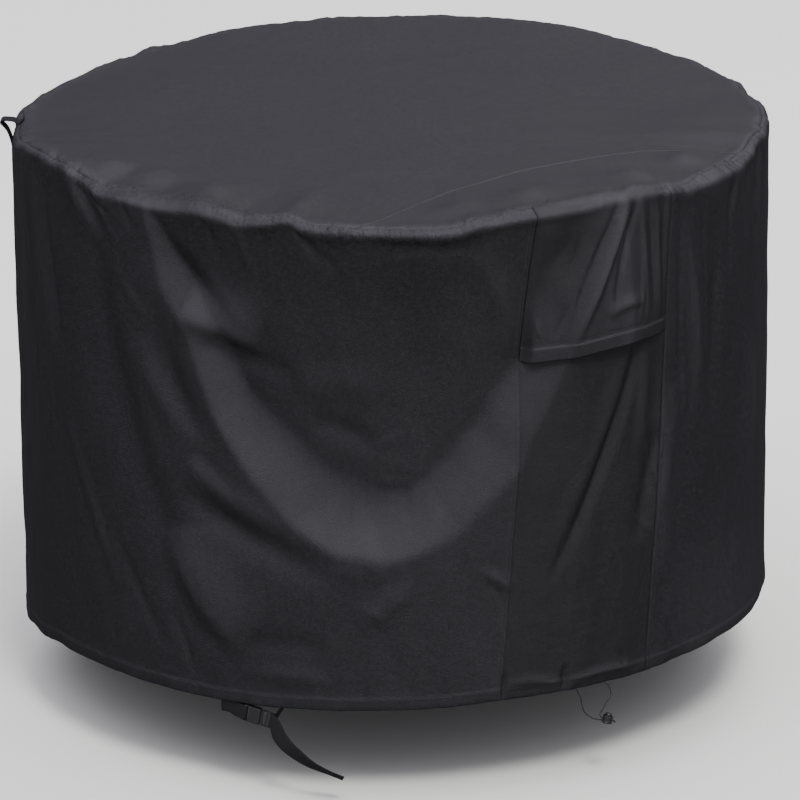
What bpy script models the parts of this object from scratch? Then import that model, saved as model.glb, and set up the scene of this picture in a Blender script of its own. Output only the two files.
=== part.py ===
"""Round fitted cover for outdoor furniture, hanging in the shape that it takes in use.

Metres, +Z up, front towards -Y. The origin is the middle of the top's underside, where the
furniture below carries the cover. The cloth is described in the cover's own coordinates:
azimuth (degrees round the cover, 0 at the front, positive towards +X), run (metres along the
cloth from the middle of the top) and fall (metres straight down from the top).
"""

import math
from collections import namedtuple

import bmesh
import bpy
import numpy as np
from mathutils import Matrix, Vector

# The cover as a whole.
COVER_RADIUS = 0.645
CLOTH = 0.002
SEAM_GAP = 0.0004
HEM_DEPTH = 0.022
HEM_FOLD = 0.0036

# Webbing, cord and buckle.
WEBBING_WIDTH = 0.025
WEBBING = 0.0015
CORD_DIAMETER = 0.0024
BUCKLE_LENGTH = 0.052
BUCKLE_HEIGHT = 0.029
BUCKLE_DEPTH = 0.009
LOCK_RADIUS = 0.009
LOCK_HEIGHT = 0.014
BUTTON_RADIUS = 0.0058
BUTTON_TRAVEL = 0.003
BUTTON_RISE = 0.005

# The rim: how far it is lifted by what it lies on, how round it turns over, and how far in from
# the edge, along the cloth, its seam lies.
Rim = namedtuple("Rim", "azimuth lift rounding inset")
RIM = [
    Rim(-173, 0.004, 0.028, 0.014),
    Rim(-160, 0.003, 0.028, 0.014),
    Rim(-140, -0.006, 0.030, 0.014),
    Rim(-120, -0.010, 0.032, 0.014),
    Rim(-98, -0.006, 0.032, 0.012),
    Rim(-84, -0.004, 0.040, 0.011),
    Rim(-78, 0.006, 0.034, 0.010),
    Rim(-72, 0.019, 0.028, 0.009),
    Rim(-64, 0.027, 0.028, 0.009),
    Rim(-57, 0.029, 0.028, 0.009),
    Rim(-52.5, 0.021, 0.028, 0.011),
    Rim(-48.5, 0.007, 0.028, 0.022),
    Rim(-44, 0.008, 0.026, 0.038),
    Rim(-36, 0.008, 0.026, 0.040),
    Rim(-30, 0.014, 0.026, 0.036),
    Rim(-26.5, 0.010, 0.026, 0.030),
    Rim(-23, 0.003, 0.028, 0.028),
    Rim(-19, 0.007, 0.026, 0.020),
    Rim(-15, 0.015, 0.024, 0.014),
    Rim(-12.8, 0.004, 0.028, 0.014),
    Rim(-10, 0.001, 0.030, 0.014),
    Rim(-3, -0.001, 0.028, 0.014),
    Rim(8, -0.005, 0.030, 0.014),
    Rim(14, 0.006, 0.028, 0.024),
    Rim(19, 0.010, 0.026, 0.032),
    Rim(27, 0.010, 0.026, 0.034),
    Rim(34, 0.014, 0.026, 0.036),
    Rim(40, 0.012, 0.026, 0.030),
    Rim(45, 0.006, 0.028, 0.016),
    Rim(50, -0.003, 0.030, 0.018),
    Rim(56, -0.003, 0.034, 0.028),
    Rim(66, -0.006, 0.034, 0.024),
    Rim(69, 0.000, 0.030, 0.016),
    Rim(73, 0.012, 0.026, 0.012),
    Rim(79, 0.003, 0.028, 0.011),
    Rim(85, 0.005, 0.028, 0.012),
    Rim(104, -0.003, 0.030, 0.014),
    Rim(130, -0.002, 0.030, 0.014),
    Rim(155, 0.006, 0.028, 0.014),
]

# The lower edge, which hangs lower on the left.
Hem = namedtuple("Hem", "azimuth fall")
HEM = [
    Hem(-178, 0.838),
    Hem(-150, 0.846),
    Hem(-120, 0.866),
    Hem(-96, 0.884),
    Hem(-84, 0.880),
    Hem(-73, 0.857),
    Hem(-60, 0.840),
    Hem(-45, 0.835),
    Hem(-22, 0.835),
    Hem(2, 0.829),
    Hem(18, 0.823),
    Hem(40, 0.825),
    Hem(58, 0.819),
    Hem(72, 0.823),
    Hem(86, 0.831),
    Hem(110, 0.829),
    Hem(145, 0.832),
]

# The two upright seams on either side of the vent, leaning a little to the left.
VENT_LEFT_TOP = 21.5
VENT_LEFT_HEM = 15.5
VENT_RIGHT_TOP = 45.2
VENT_RIGHT_HEM = 40.0

# A run is the way over the cloth from the top's middle. SIDE_RUN is the part of it over which
# the seams lean, and FALL_AT_RADIUS the fall where the run is the cover's radius.
SIDE_RUN = 0.81
FALL_AT_RADIUS = 0.012

# The seam across the top, in metres seen from above, from rim to rim.
ChordPoint = namedtuple("ChordPoint", "x y")
CHORD_SEAM = [
    ChordPoint(-0.078, -0.640),
    ChordPoint(-0.024, -0.604),
    ChordPoint(0.020, -0.545),
    ChordPoint(0.063, -0.487),
    ChordPoint(0.138, -0.407),
    ChordPoint(0.213, -0.337),
    ChordPoint(0.348, -0.257),
    ChordPoint(0.441, -0.222),
    ChordPoint(0.500, -0.230),
    ChordPoint(0.566, -0.238),
    ChordPoint(0.596, -0.246),
]

# Soft lumps of the top, where it lies on things of different height.
Swell = namedtuple("Swell", "azimuth radius reach height")
TOP_SWELLS = [
    Swell(-53, 0.575, 0.030, 0.006),
    Swell(-46, 0.535, 0.050, 0.012),
    Swell(-40, 0.575, 0.024, -0.004),
    Swell(-33, 0.545, 0.045, 0.010),
    Swell(-24, 0.500, 0.050, -0.003),
    Swell(10, 0.555, 0.036, 0.006),
    Swell(24, 0.548, 0.040, 0.009),
    Swell(35, 0.530, 0.032, -0.003),
    Swell(46, 0.555, 0.036, 0.008),
    Swell(60, 0.560, 0.036, 0.009),
    Swell(78, 0.520, 0.090, 0.005),
    Swell(100, 0.400, 0.120, -0.004),
    Swell(-110, 0.450, 0.140, 0.003),
    Swell(170, 0.420, 0.150, -0.003),
]

# The big hanging swag in front. Its outer edge runs from the left arm at the rim, through its
# lowest point, to the right arm that ends under the vent flap. Inside that edge the cloth
# leaves the side over the ledge's width, steeply where steepness is high, and hangs back.
Swag = namedtuple("Swag", "azimuth fall width steepness")
SWAG = [
    Swag(-39.0, 0.010, 0.020, 1.0),
    Swag(-36.9, 0.105, 0.037, 1.0),
    Swag(-34.0, 0.170, 0.056, 1.0),
    Swag(-31.4, 0.220, 0.062, 1.2),
    Swag(-29.6, 0.275, 0.058, 1.5),
    Swag(-27.3, 0.333, 0.068, 1.6),
    Swag(-24.6, 0.385, 0.080, 1.7),
    Swag(-20.0, 0.455, 0.100, 1.8),
    Swag(-14.8, 0.523, 0.118, 1.9),
    Swag(-9.0, 0.563, 0.125, 1.9),
    Swag(-2.7, 0.576, 0.118, 1.7),
    Swag(4.5, 0.562, 0.106, 1.3),
    Swag(10.0, 0.523, 0.096, 1.1),
    Swag(14.8, 0.470, 0.098, 1.0),
    Swag(18.8, 0.415, 0.096, 1.0),
    Swag(21.3, 0.355, 0.084, 1.0),
    Swag(25.0, 0.279, 0.066, 1.0),
    Swag(28.5, 0.200, 0.048, 1.0),
    Swag(32.5, 0.100, 0.034, 1.0),
    Swag(36.0, 0.015, 0.024, 1.0),
]
SWAG_DEPTH = 0.066
SWAG_SPREAD = 0.25
SWAG_EDGE_SOFTNESS = 0.12

# Single folds: a soft ridge (height above 0) or trough (below 0) along a curve through three
# points, each given as (azimuth, fall). above is where it has lost two thirds of its height on
# the side that lies left of the way from start to end, and below is the same on the other side.
Fold = namedtuple("Fold", "start middle end above below height")
FOLDS = [
    # The left facet and the long valley that parts it from the front.
    Fold((-49.0, 0.080), (-43.5, 0.350), (-30.5, 0.690), 0.030, 0.040, -0.009),
    Fold((-55.0, 0.000), (-50.5, 0.035), (-45.0, 0.080), 0.018, 0.018, -0.005),
    Fold((-67.0, 0.040), (-65.0, 0.160), (-60.0, 0.340), 0.020, 0.020, 0.005),
    Fold((-80.0, 0.060), (-78.0, 0.250), (-75.0, 0.500), 0.030, 0.030, -0.004),
    # The bulge on the swag's left arm and the tuck under it.
    Fold((-36.8, 0.045), (-30.2, 0.127), (-22.0, 0.212), 0.016, 0.034, -0.007),
    Fold((-33.0, 0.172), (-27.4, 0.194), (-20.8, 0.217), 0.052, 0.020, 0.023),
    Fold((-31.0, 0.238), (-24.0, 0.240), (-14.5, 0.270), 0.016, 0.022, -0.006),
    # Parallel folds left of and below the swag.
    Fold((-38.5, 0.150), (-33.6, 0.300), (-26.6, 0.430), 0.026, 0.032, -0.009),
    Fold((-40.0, 0.230), (-35.2, 0.335), (-26.5, 0.417), 0.022, 0.020, 0.005),
    Fold((-31.5, 0.420), (-25.6, 0.472), (-16.5, 0.528), 0.024, 0.022, 0.006),
    Fold((-33.0, 0.478), (-23.0, 0.532), (-9.0, 0.606), 0.028, 0.026, -0.010),
    Fold((-34.5, 0.545), (-30.2, 0.650), (-22.0, 0.735), 0.075, 0.026, 0.018),
    # Inside the swag.
    Fold((-15.0, 0.290), (-8.0, 0.275), (-1.0, 0.300), 0.030, 0.030, 0.004),
    Fold((0.5, 0.060), (3.0, 0.240), (0.5, 0.420), 0.060, 0.070, -0.010),
    Fold((-1.0, 0.044), (7.0, 0.034), (15.0, 0.050), 0.016, 0.016, -0.003),
    Fold((12.0, 0.060), (17.0, 0.150), (17.0, 0.240), 0.022, 0.022, 0.006),
    # Vent panel: the sharp crease below the flap and its neighbours.
    Fold((24.0, 0.600), (33.9, 0.389), (38.5, 0.235), 0.010, 0.012, -0.008),
    Fold((38.0, 0.590), (40.3, 0.480), (42.0, 0.400), 0.014, 0.012, -0.006),
    # Right of the vent.
    Fold((43.5, 0.680), (43.8, 0.480), (46.0, 0.330), 0.024, 0.024, 0.008),
    Fold((48.0, 0.050), (50.5, 0.220), (51.5, 0.420), 0.016, 0.016, 0.006),
    Fold((55.0, 0.040), (56.0, 0.200), (55.0, 0.420), 0.022, 0.022, -0.005),
    Fold((71.0, 0.200), (72.0, 0.090), (73.0, 0.010), 0.016, 0.016, 0.006),
    Fold((66.0, 0.300), (68.0, 0.450), (66.0, 0.640), 0.040, 0.040, 0.006),
    Fold((46.0, 0.815), (60.0, 0.800), (76.0, 0.815), 0.130, 0.040, 0.012),
]

# Long upright folds on the sides that face away, evenly deep and unevenly spaced.
BACK_FOLD_COUNT = 11
BACK_FOLD_SWING = 0.9
BACK_FOLD_HEIGHT = 0.0065
BACK_FOLD_FROM = 92
BACK_FOLD_FULL = 122

# The vent flap: it hangs over the vent panel, sewn down its sides and free at its lower band.
FLAP_FALL = 0.240
FLAP_BAND_THICK = 0.0032
FLAP_STAND = 0.016
# Its lower edge is lower by FLAP_SLANT at its left end. The rows of the vent panel follow it, and
# are level again at FLAP_SLANT_END.
FLAP_SLANT = 0.018
FLAP_SLANT_END = 0.60
FLAP_SLANT_FADE = 0.30
FLAP_FOLDS = [
    Fold((25.6, 0.222), (31.0, 0.110), (36.2, 0.006), 0.015, 0.013, 0.009),
    Fold((32.0, 0.186), (35.0, 0.172), (38.0, 0.176), 0.013, 0.009, 0.005),
    Fold((39.0, 0.205), (39.8, 0.110), (40.0, 0.006), 0.009, 0.009, 0.004),
]

# The pull loop on the left of the rim.
LOOP_AZIMUTH = -93.0
LoopPoint = namedtuple("LoopPoint", "reach height")
LOOP_BIGHT = [
    LoopPoint(-0.0015, -0.0098),
    LoopPoint(0.0040, -0.0088),
    LoopPoint(0.0105, -0.0082),
    LoopPoint(0.0165, -0.0082),
    LoopPoint(0.0192, -0.0090),
    LoopPoint(0.0200, -0.0106),
    LoopPoint(0.0192, -0.0124),
    LoopPoint(0.0165, -0.0150),
    LoopPoint(0.0120, -0.0200),
    LoopPoint(0.0083, -0.0260),
    LoopPoint(0.0055, -0.0330),
    LoopPoint(0.0036, -0.0395),
]

# The strap at the hem. fall and stand_off place its middle line; lean turns its width away
# from upright, in degrees, and twist turns it out of the cover's side.
Station = namedtuple("Station", "azimuth fall stand_off lean twist")
STRAP_RADIUS = 0.640
ANCHOR_FRONT = [
    Station(-26.9, 0.8425, 0.0003, 0, 0),
    Station(-25.6, 0.8432, 0.0003, 1, 0),
    Station(-24.6, 0.8482, 0.0003, 7, 0),
]
ANCHOR_BACK = [
    Station(-24.6, 0.8482, -0.0020, 7, 0),
    Station(-25.6, 0.8432, -0.0017, 1, 0),
    Station(-26.9, 0.8425, -0.0017, 0, 0),
]
TAIL_BACK = [
    Station(-13.4, 0.8130, 0.0003, 0, 0),
    Station(-15.2, 0.8135, 0.0003, 4, 0),
    Station(-16.6, 0.8240, -0.0014, 16, 0),
    Station(-17.5, 0.8410, -0.0026, 22, 0),
]
TAIL_FRONT = [
    Station(-18.05, 0.8700, 0.0052, 40, 0),
    Station(-17.40, 0.8850, 0.0075, 48, 0),
    Station(-16.20, 0.8990, 0.0100, 46, 6),
    Station(-14.60, 0.9120, 0.0120, 40, 18),
    Station(-12.60, 0.9260, 0.0130, 34, 36),
    Station(-10.30, 0.9370, 0.0130, 27, 50),
    Station(-7.90, 0.9480, 0.0120, 23, 52),
]
BUCKLE_AZIMUTH = -21.0
BUCKLE_FALL = 0.856
BUCKLE_TILT = 12.0
BUCKLE_BAR = 0.0026
BIGHT_RADIUS = 0.00295

# The drawstring: its two ends leave the hem and run into the cord lock.
CORD_RADIUS = 0.6432
LOCK_AZIMUTH = 32.9
LOCK_FALL = 0.8935
LOCK_TILT = 19.0
CORD_ENTRY_SPACING = 0.0036
CordPoint = namedtuple("CordPoint", "azimuth fall stand_off")
CORD_LEFT = [
    CordPoint(27.42, 0.8251, 0.0000),
    CordPoint(27.86, 0.8345, 0.0004),
    CordPoint(28.20, 0.8440, 0.0010),
    CordPoint(28.36, 0.8550, 0.0016),
    CordPoint(28.62, 0.8660, 0.0020),
    CordPoint(29.08, 0.8735, 0.0020),
    CordPoint(29.78, 0.8800, 0.0016),
    CordPoint(30.50, 0.8855, 0.0010),
    CordPoint(31.25, 0.8888, 0.0004),
]
CORD_RIGHT = [
    CordPoint(32.55, 0.8258, 0.0000),
    CordPoint(33.10, 0.8330, 0.0006),
    CordPoint(33.46, 0.8440, 0.0014),
    CordPoint(33.28, 0.8545, 0.0018),
    CordPoint(32.76, 0.8610, 0.0014),
    CordPoint(32.32, 0.8690, 0.0008),
    CordPoint(31.78, 0.8780, 0.0000),
    CordPoint(31.62, 0.8836, -0.0004),
]

# Grid rows down the side: round the rim, then at these falls, then on to the hem.
RIM_ROWS = 3
UPPER_FALLS = [0.070, 0.120, 0.170, 0.214, 0.218, 0.240]
LOWER_ROWS = 18
COLUMN_STEP = 2.8
VENT_COLUMNS = 12
BACK_COLUMN_STEP = 5.4
BACK_FROM = 98
BACK_TO = 262

CLOTH_COLOUR = (0.024, 0.024, 0.029, 1)
VENT_COLOUR = (0.019, 0.019, 0.023, 1)
WEBBING_COLOUR = (0.008, 0.008, 0.009, 1)
PLASTIC_COLOUR = (0.010, 0.010, 0.011, 1)


# ---------------------------------------------------------------- the cover's own coordinates


def smooth(x):
    x = np.clip(x, 0.0, 1.0)
    return x * x * (3 - 2 * x)


def round_table(rows, column, azimuth):
    """A column of a table that goes once round the cover, as a smooth curve through its rows."""
    angles = np.array([row.azimuth for row in rows], float)
    values = np.array([getattr(row, column) for row in rows], float)
    at = (np.asarray(azimuth, float) - angles[0]) % 360
    knots = np.append(angles - angles[0], 360)
    values = np.append(values, values[0])
    cell = np.clip(np.searchsorted(knots, at, side="right") - 1, 0, len(rows) - 1)
    share = smooth((at - knots[cell]) / (knots[cell + 1] - knots[cell]))
    return values[cell] * (1 - share) + values[cell + 1] * share


def unrolled(azimuth, fall):
    """Cover coordinates as flat metres on the side's unrolled cylinder."""
    return np.stack([np.radians(azimuth) * COVER_RADIUS, np.asarray(fall, float)], -1)


def along_path(points, path):
    """Distance of each point from a polyline, positive on its left, and its share of the way."""
    best = np.full(len(points), np.inf)
    side = np.zeros(len(points))
    share = np.zeros(len(points))
    legs = len(path) - 1
    for i in range(legs):
        step = path[i + 1] - path[i]
        offset = points - path[i]
        t = np.clip(offset @ step / (step @ step), 0, 1)
        gap = offset - t[:, None] * step
        distance = np.hypot(gap[:, 0], gap[:, 1])
        nearer = distance < best
        best = np.where(nearer, distance, best)
        turn = step[1] * offset[:, 0] - step[0] * offset[:, 1]
        side = np.where(nearer, np.sign(turn), side)
        share = np.where(nearer, (i + t) / legs, share)
    return best * side, share


def fold_relief(points, fold):
    """Height that one fold adds at each point of the unrolled side."""
    t = np.linspace(0, 1, 21)[:, None]
    start, middle, end = (unrolled(*corner) for corner in (fold.start, fold.middle, fold.end))
    path = start * 2 * (t - 0.5) * (t - 1) - middle * 4 * t * (t - 1) + end * 2 * t * (t - 0.5)
    distance, share = along_path(points, path)
    width = np.where(distance > 0, fold.above, fold.below)
    taper = np.sin(np.pi * share) ** 0.7
    return fold.height * taper * np.exp(-((distance / width) ** 2))


def swag_relief(points):
    """How far the cloth hangs back inside the swag."""
    knots = np.arange(len(SWAG))
    fine = np.linspace(0, len(SWAG) - 1, 4 * len(SWAG))
    azimuth = np.interp(fine, knots, [row.azimuth for row in SWAG])
    fall = np.interp(fine, knots, [row.fall for row in SWAG])
    distance, share = along_path(points, unrolled(azimuth, fall))
    at = share * (len(SWAG) - 1)
    width = np.interp(at, knots, [row.width for row in SWAG])
    steepness = np.interp(at, knots, [row.steepness for row in SWAG])
    across = np.clip(distance / width, 0, 1)
    across = across**2 * (1 + SWAG_EDGE_SOFTNESS) / (across + SWAG_EDGE_SOFTNESS)
    hollow = SWAG_DEPTH * (1 - np.exp(-np.maximum(points[:, 1], 0) / SWAG_SPREAD))
    return -hollow * (1 - (1 - across) ** steepness)


def side_relief(azimuth, fall):
    """Height of the side's cloth over the plain cylinder."""
    turned = (azimuth + 180) % 360 - 180
    points = unrolled(turned, fall)
    relief = swag_relief(points)
    for fold in FOLDS:
        relief = relief + fold_relief(points, fold)
    behind = smooth((np.abs(turned) - BACK_FOLD_FROM) / (BACK_FOLD_FULL - BACK_FOLD_FROM))
    turn = np.radians(azimuth)
    wave = np.sin(BACK_FOLD_COUNT * turn + BACK_FOLD_SWING * np.sin(2 * turn))
    return relief + BACK_FOLD_HEIGHT * behind * smooth(fall / 0.5) * wave


def top_relief(azimuth, radius):
    """Height of the top's cloth over the plain disc."""
    turn = np.radians(azimuth)
    relief = np.zeros(len(turn))
    for swell in TOP_SWELLS:
        middle = math.radians(swell.azimuth)
        dx = radius * np.sin(turn) - swell.radius * math.sin(middle)
        dy = radius * np.cos(turn) - swell.radius * math.cos(middle)
        relief += swell.height * np.exp(-(dx * dx + dy * dy) / swell.reach**2)
    return relief


def cover_points(azimuth, run, depth):
    """Points of the cover at a depth under its outer face, as an array of x, y, z."""
    azimuth, run, depth = (np.asarray(a, float) for a in (azimuth, run, depth))
    lift = round_table(RIM, "lift", azimuth)
    rounding = round_table(RIM, "rounding", azimuth)
    flat_end = COVER_RADIUS - rounding
    lean = np.clip((run - flat_end) / rounding, 0, math.pi / 2)
    straight = np.maximum(run - flat_end - rounding * math.pi / 2, 0)
    radius = np.minimum(run, flat_end) + rounding * np.sin(lean)
    fall = rounding * (1 - np.cos(lean)) + straight
    side = smooth(lean / (math.pi / 2))
    out = side * side_relief(azimuth, fall) + (1 - side) * top_relief(azimuth, radius) - depth
    lifted = lift * smooth((radius - 0.40) / 0.20) * (1 - smooth(fall / 0.30))
    radius = radius + out * np.sin(lean)
    turn = np.radians(azimuth)
    height = CLOTH - fall + lifted + out * np.cos(lean)
    return np.stack([radius * np.sin(turn), -radius * np.cos(turn), height], -1)


def run_at_fall(azimuth, fall):
    """The run that reaches a fall on the upright part of the side."""
    rounding = round_table(RIM, "rounding", azimuth)
    return COVER_RADIUS - rounding + rounding * math.pi / 2 + fall - rounding


def rim_seam_run(azimuth):
    return COVER_RADIUS - round_table(RIM, "inset", azimuth)


def chord_line(offset):
    """Azimuths and radii of the seam across the top, moved outwards by offset."""
    path = np.array([(point.x, point.y) for point in CHORD_SEAM])
    ahead = np.gradient(path, axis=0)
    normal = np.stack([ahead[:, 1], -ahead[:, 0]], -1)
    path = path + offset * normal / np.linalg.norm(normal, axis=1)[:, None]
    return np.degrees(np.arctan2(path[:, 0], -path[:, 1])), np.hypot(path[:, 0], path[:, 1])


def chord_radius(azimuth, offset):
    return np.interp(azimuth, *chord_line(offset))


def chord_ends(offset):
    """Azimuths at which the seam across the top, moved outwards by offset, meets the rim seam."""
    azimuth = np.linspace(-6.9, 67.5, 30001)
    inside = azimuth[chord_radius(azimuth, offset) < rim_seam_run(azimuth) - SEAM_GAP / 2]
    return inside[0], inside[-1]


# ------------------------------------------------------------------------------------ makers


def collection(name, hidden=False):
    made = bpy.data.collections.new(name)
    bpy.context.scene.collection.children.link(made)
    made.hide_render = hidden
    return made


def finish(name, colour, roughness):
    material = bpy.data.materials.new(name)
    material.use_nodes = True
    shader = material.node_tree.nodes["Principled BSDF"]
    shader.inputs["Base Color"].default_value = colour
    shader.inputs["Roughness"].default_value = roughness
    material.diffuse_color = colour
    return material


def add_object(name, data, colour, roughness, into):
    made = bpy.data.objects.new(name, data)
    data.materials.append(finish(name, colour, roughness))
    into.objects.link(made)
    return made


def thick_sheet(name, outer, inner, colour, roughness, into):
    """A closed sheet between two grids of points, outer and inner, of the same shape."""
    columns, rows = outer.shape[0], outer.shape[1]
    mesh = bmesh.new()
    bmesh.ops.create_grid(mesh, x_segments=columns - 1, y_segments=rows - 1, size=1)
    column_of = mesh.verts.layers.int.new("column")
    row_of = mesh.verts.layers.int.new("row")
    for vert in mesh.verts:
        vert[column_of] = round((vert.co.x + 1) / 2 * (columns - 1))
        vert[row_of] = round((vert.co.y + 1) / 2 * (rows - 1))
        vert.co = outer[vert[column_of], vert[row_of]]
    bmesh.ops.remove_doubles(mesh, verts=mesh.verts[:], dist=1e-6)
    extruded = bmesh.ops.extrude_face_region(mesh, geom=mesh.faces[:])
    for item in extruded["geom"]:
        if isinstance(item, bmesh.types.BMVert):
            item.co = inner[item[column_of], item[row_of]]
    bmesh.ops.recalc_face_normals(mesh, faces=mesh.faces[:])
    data = bpy.data.meshes.new(name)
    mesh.to_mesh(data)
    mesh.free()
    data.shade_smooth()
    data.set_sharp_from_angle(angle=math.radians(50))
    return add_object(name, data, colour, roughness, into)


def cover_sheet(name, azimuth, run, thickness, colour, into, stand=0.0):
    """A panel of the cover on grids of azimuth and run, stand outside the cover's face."""
    shape = azimuth.shape
    thickness = np.broadcast_to(thickness, shape)
    stand = np.broadcast_to(stand, shape)
    flat = azimuth.ravel(), run.ravel()
    outer = cover_points(*flat, -(stand + thickness * (stand > 0)).ravel()).reshape(*shape, 3)
    inner_depth = np.where(stand > 0, -stand, thickness)
    inner = cover_points(*flat, inner_depth.ravel()).reshape(*shape, 3)
    return thick_sheet(name, outer, inner, colour, 0.75, into)


def side_frame(azimuth):
    """Unit vectors at an azimuth: along the side, outwards and up."""
    turn = math.radians(azimuth)
    along = Vector((math.cos(turn), math.sin(turn), 0))
    outwards = Vector((math.sin(turn), -math.cos(turn), 0))
    return along, outwards, Vector((0, 0, 1))


def side_point(azimuth, radius, fall):
    return side_frame(azimuth)[1] * radius + Vector((0, 0, CLOTH - fall))


def smooth_route(points, steps):
    """A smooth curve through the points, with steps pieces between each two."""
    points = [points[0] * 2 - points[1], *points, points[-1] * 2 - points[-2]]
    route = []
    for before, a, b, after in zip(points, points[1:], points[2:], points[3:]):
        for k in range(steps):
            t = k / steps
            route.append(
                0.5
                * (
                    2 * a
                    + (b - before) * t
                    + (2 * before - 5 * a + 4 * b - after) * t * t
                    + (3 * a - before - 3 * b + after) * t**3
                )
            )
    return [*route, points[-2]]


def webbing(name, centres, acrosses, width, thickness, into):
    """A flat strap along a route, its width along acrosses."""
    outer = np.zeros((len(centres), 3, 3))
    inner = np.zeros((len(centres), 3, 3))
    for i, (centre, across) in enumerate(zip(centres, acrosses)):
        ahead = centres[min(i + 1, len(centres) - 1)] - centres[max(i - 1, 0)]
        face = ahead.cross(across).normalized()
        for j in range(3):
            edge = centre + across.normalized() * width * (j - 1) / 2
            outer[i, j] = edge + face * thickness / 2
            inner[i, j] = edge - face * thickness / 2
    return thick_sheet(name, outer, inner, WEBBING_COLOUR, 0.8, into)


def strap_stations(stations):
    """Centre and across of a strap at each of its stations."""
    route = []
    for station in stations:
        along, outwards, up = side_frame(station.azimuth)
        lean, twist = math.radians(station.lean), math.radians(station.twist)
        upright = up * math.cos(lean) + along * math.sin(lean)
        centre = side_point(station.azimuth, STRAP_RADIUS + station.stand_off, station.fall)
        route.append((centre, upright * math.cos(twist) + outwards * math.sin(twist)))
    return route


def bight(side):
    """Centre and across of a strap turning round the buckle's end bar, from front to back."""
    place = buckle_place()
    across = place.to_3x3() @ Vector((0, 1, 0))
    bar = side * (BUCKLE_LENGTH - BUCKLE_BAR) / 2
    angles = [math.radians(90 - 30 * k) for k in range(7)]
    turn = [(-side * math.cos(angle), math.sin(angle)) for angle in angles]
    flat = [(bar + x * BIGHT_RADIUS, z * BIGHT_RADIUS) for x, z in turn]
    start, end = flat[0], flat[-1]
    flat = [(start[0] + side * 0.003, start[1]), *flat, (end[0] + side * 0.003, end[1])]
    return [(place @ Vector((x, 0, z)), across) for x, z in flat]


def strap(name, route, steps, into):
    """A strap of webbing along a route of centres and acrosses."""
    centres = smooth_route([centre for centre, _ in route], steps)
    acrosses = smooth_route([across for _, across in route], steps)
    webbing(name, centres, acrosses, WEBBING_WIDTH, WEBBING, into)


def hem_straps(into):
    """The short doubled webbing that holds the buckle, and the long strap with its free tail."""
    anchor = [*strap_stations(ANCHOR_FRONT), *bight(-1), *strap_stations(ANCHOR_BACK)]
    tail = [*strap_stations(TAIL_BACK), *reversed(bight(1)), *strap_stations(TAIL_FRONT)]
    strap("strap_anchor", anchor, 1, into)
    strap("strap_tail", tail, 2, into)


def box(name, low, high, bevel, colour, into):
    """A box between two corners, with rounded edges where bevel isn't 0."""
    mesh = bmesh.new()
    bmesh.ops.create_cube(mesh, size=1)
    low, high = Vector(low), Vector(high)
    for vert in mesh.verts:
        vert.co = [low[k] + (vert.co[k] + 0.5) * (high[k] - low[k]) for k in range(3)]
    data = bpy.data.meshes.new(name)
    mesh.to_mesh(data)
    mesh.free()
    made = add_object(name, data, colour, 0.45, into)
    if bevel:
        rounded = made.modifiers.new("edges", "BEVEL")
        rounded.width = bevel
        rounded.segments = 2
    return made


def cut(target, cutter):
    cutter.hide_render = True
    cutter.display_type = "WIRE"
    made = target.modifiers.new("cut", "BOOLEAN")
    made.operation = "DIFFERENCE"
    made.object = cutter
    return cutter


def turned(name, profile, colour, into):
    """A round piece about its Z axis, from a profile of (radius, height), top to bottom."""
    data = bpy.data.meshes.new(name)
    points = [(radius, 0, height) for radius, height in profile]
    data.from_pydata(points, [(i, i + 1) for i in range(len(points) - 1)], [])
    made = add_object(name, data, colour, 0.5, into)
    screw = made.modifiers.new("turn", "SCREW")
    screw.axis = "Z"
    screw.steps = 24
    screw.render_steps = 24
    screw.use_merge_vertices = True
    screw.merge_threshold = 1e-5
    screw.use_smooth_shade = True
    return made


def tube(name, points, diameter, colour, into):
    """A round cord through the points."""
    data = bpy.data.curves.new(name, "CURVE")
    data.dimensions = "3D"
    data.bevel_depth = diameter / 2
    data.bevel_resolution = 2
    data.use_fill_caps = True
    spline = data.splines.new("POLY")
    spline.points.add(len(points) - 1)
    for point, place in zip(spline.points, points):
        point.co = (*place, 1)
    return add_object(name, data, colour, 0.7, into)


def outline(name, loops, thickness, colour, into):
    """A flat plate of the first loop, with the other loops as holes in it."""
    data = bpy.data.curves.new(name, "CURVE")
    data.dimensions = "2D"
    data.fill_mode = "BOTH"
    data.extrude = thickness / 2
    for loop in loops:
        spline = data.splines.new("POLY")
        spline.points.add(len(loop) - 1)
        spline.use_cyclic_u = True
        for point, (x, y) in zip(spline.points, loop):
            point.co = (x, y, 0, 1)
    return add_object(name, data, colour, 0.45, into)


def rectangle(left, right, low, high):
    return [(left, low), (right, low), (right, high), (left, high)]


# ------------------------------------------------------------------------------ cloth panels


def side_runs(azimuth):
    """Runs down the side at each azimuth: round the rim, down the side, then the hem."""
    azimuth = np.asarray(azimuth, float)
    rounding = round_table(RIM, "rounding", azimuth)
    bend_end = COVER_RADIUS - rounding + rounding * math.pi / 2
    start = rim_seam_run(azimuth) + SEAM_GAP / 2
    hem = run_at_fall(azimuth, round_table(HEM, "fall", azimuth))
    fold_line = hem - HEM_DEPTH
    upper = [run_at_fall(azimuth, fall) for fall in UPPER_FALLS]
    rows = [start + (bend_end - start) * k / RIM_ROWS for k in range(RIM_ROWS)]
    first_fall = np.minimum(bend_end, upper[0] - 0.004)
    rows += [first_fall, *upper]
    for k in range(1, LOWER_ROWS + 1):
        share = (k / LOWER_ROWS) ** 1.25
        rows.append(upper[-1] + (fold_line - upper[-1]) * share)
    return np.stack([*rows, fold_line + 0.002, hem], -1)


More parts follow.
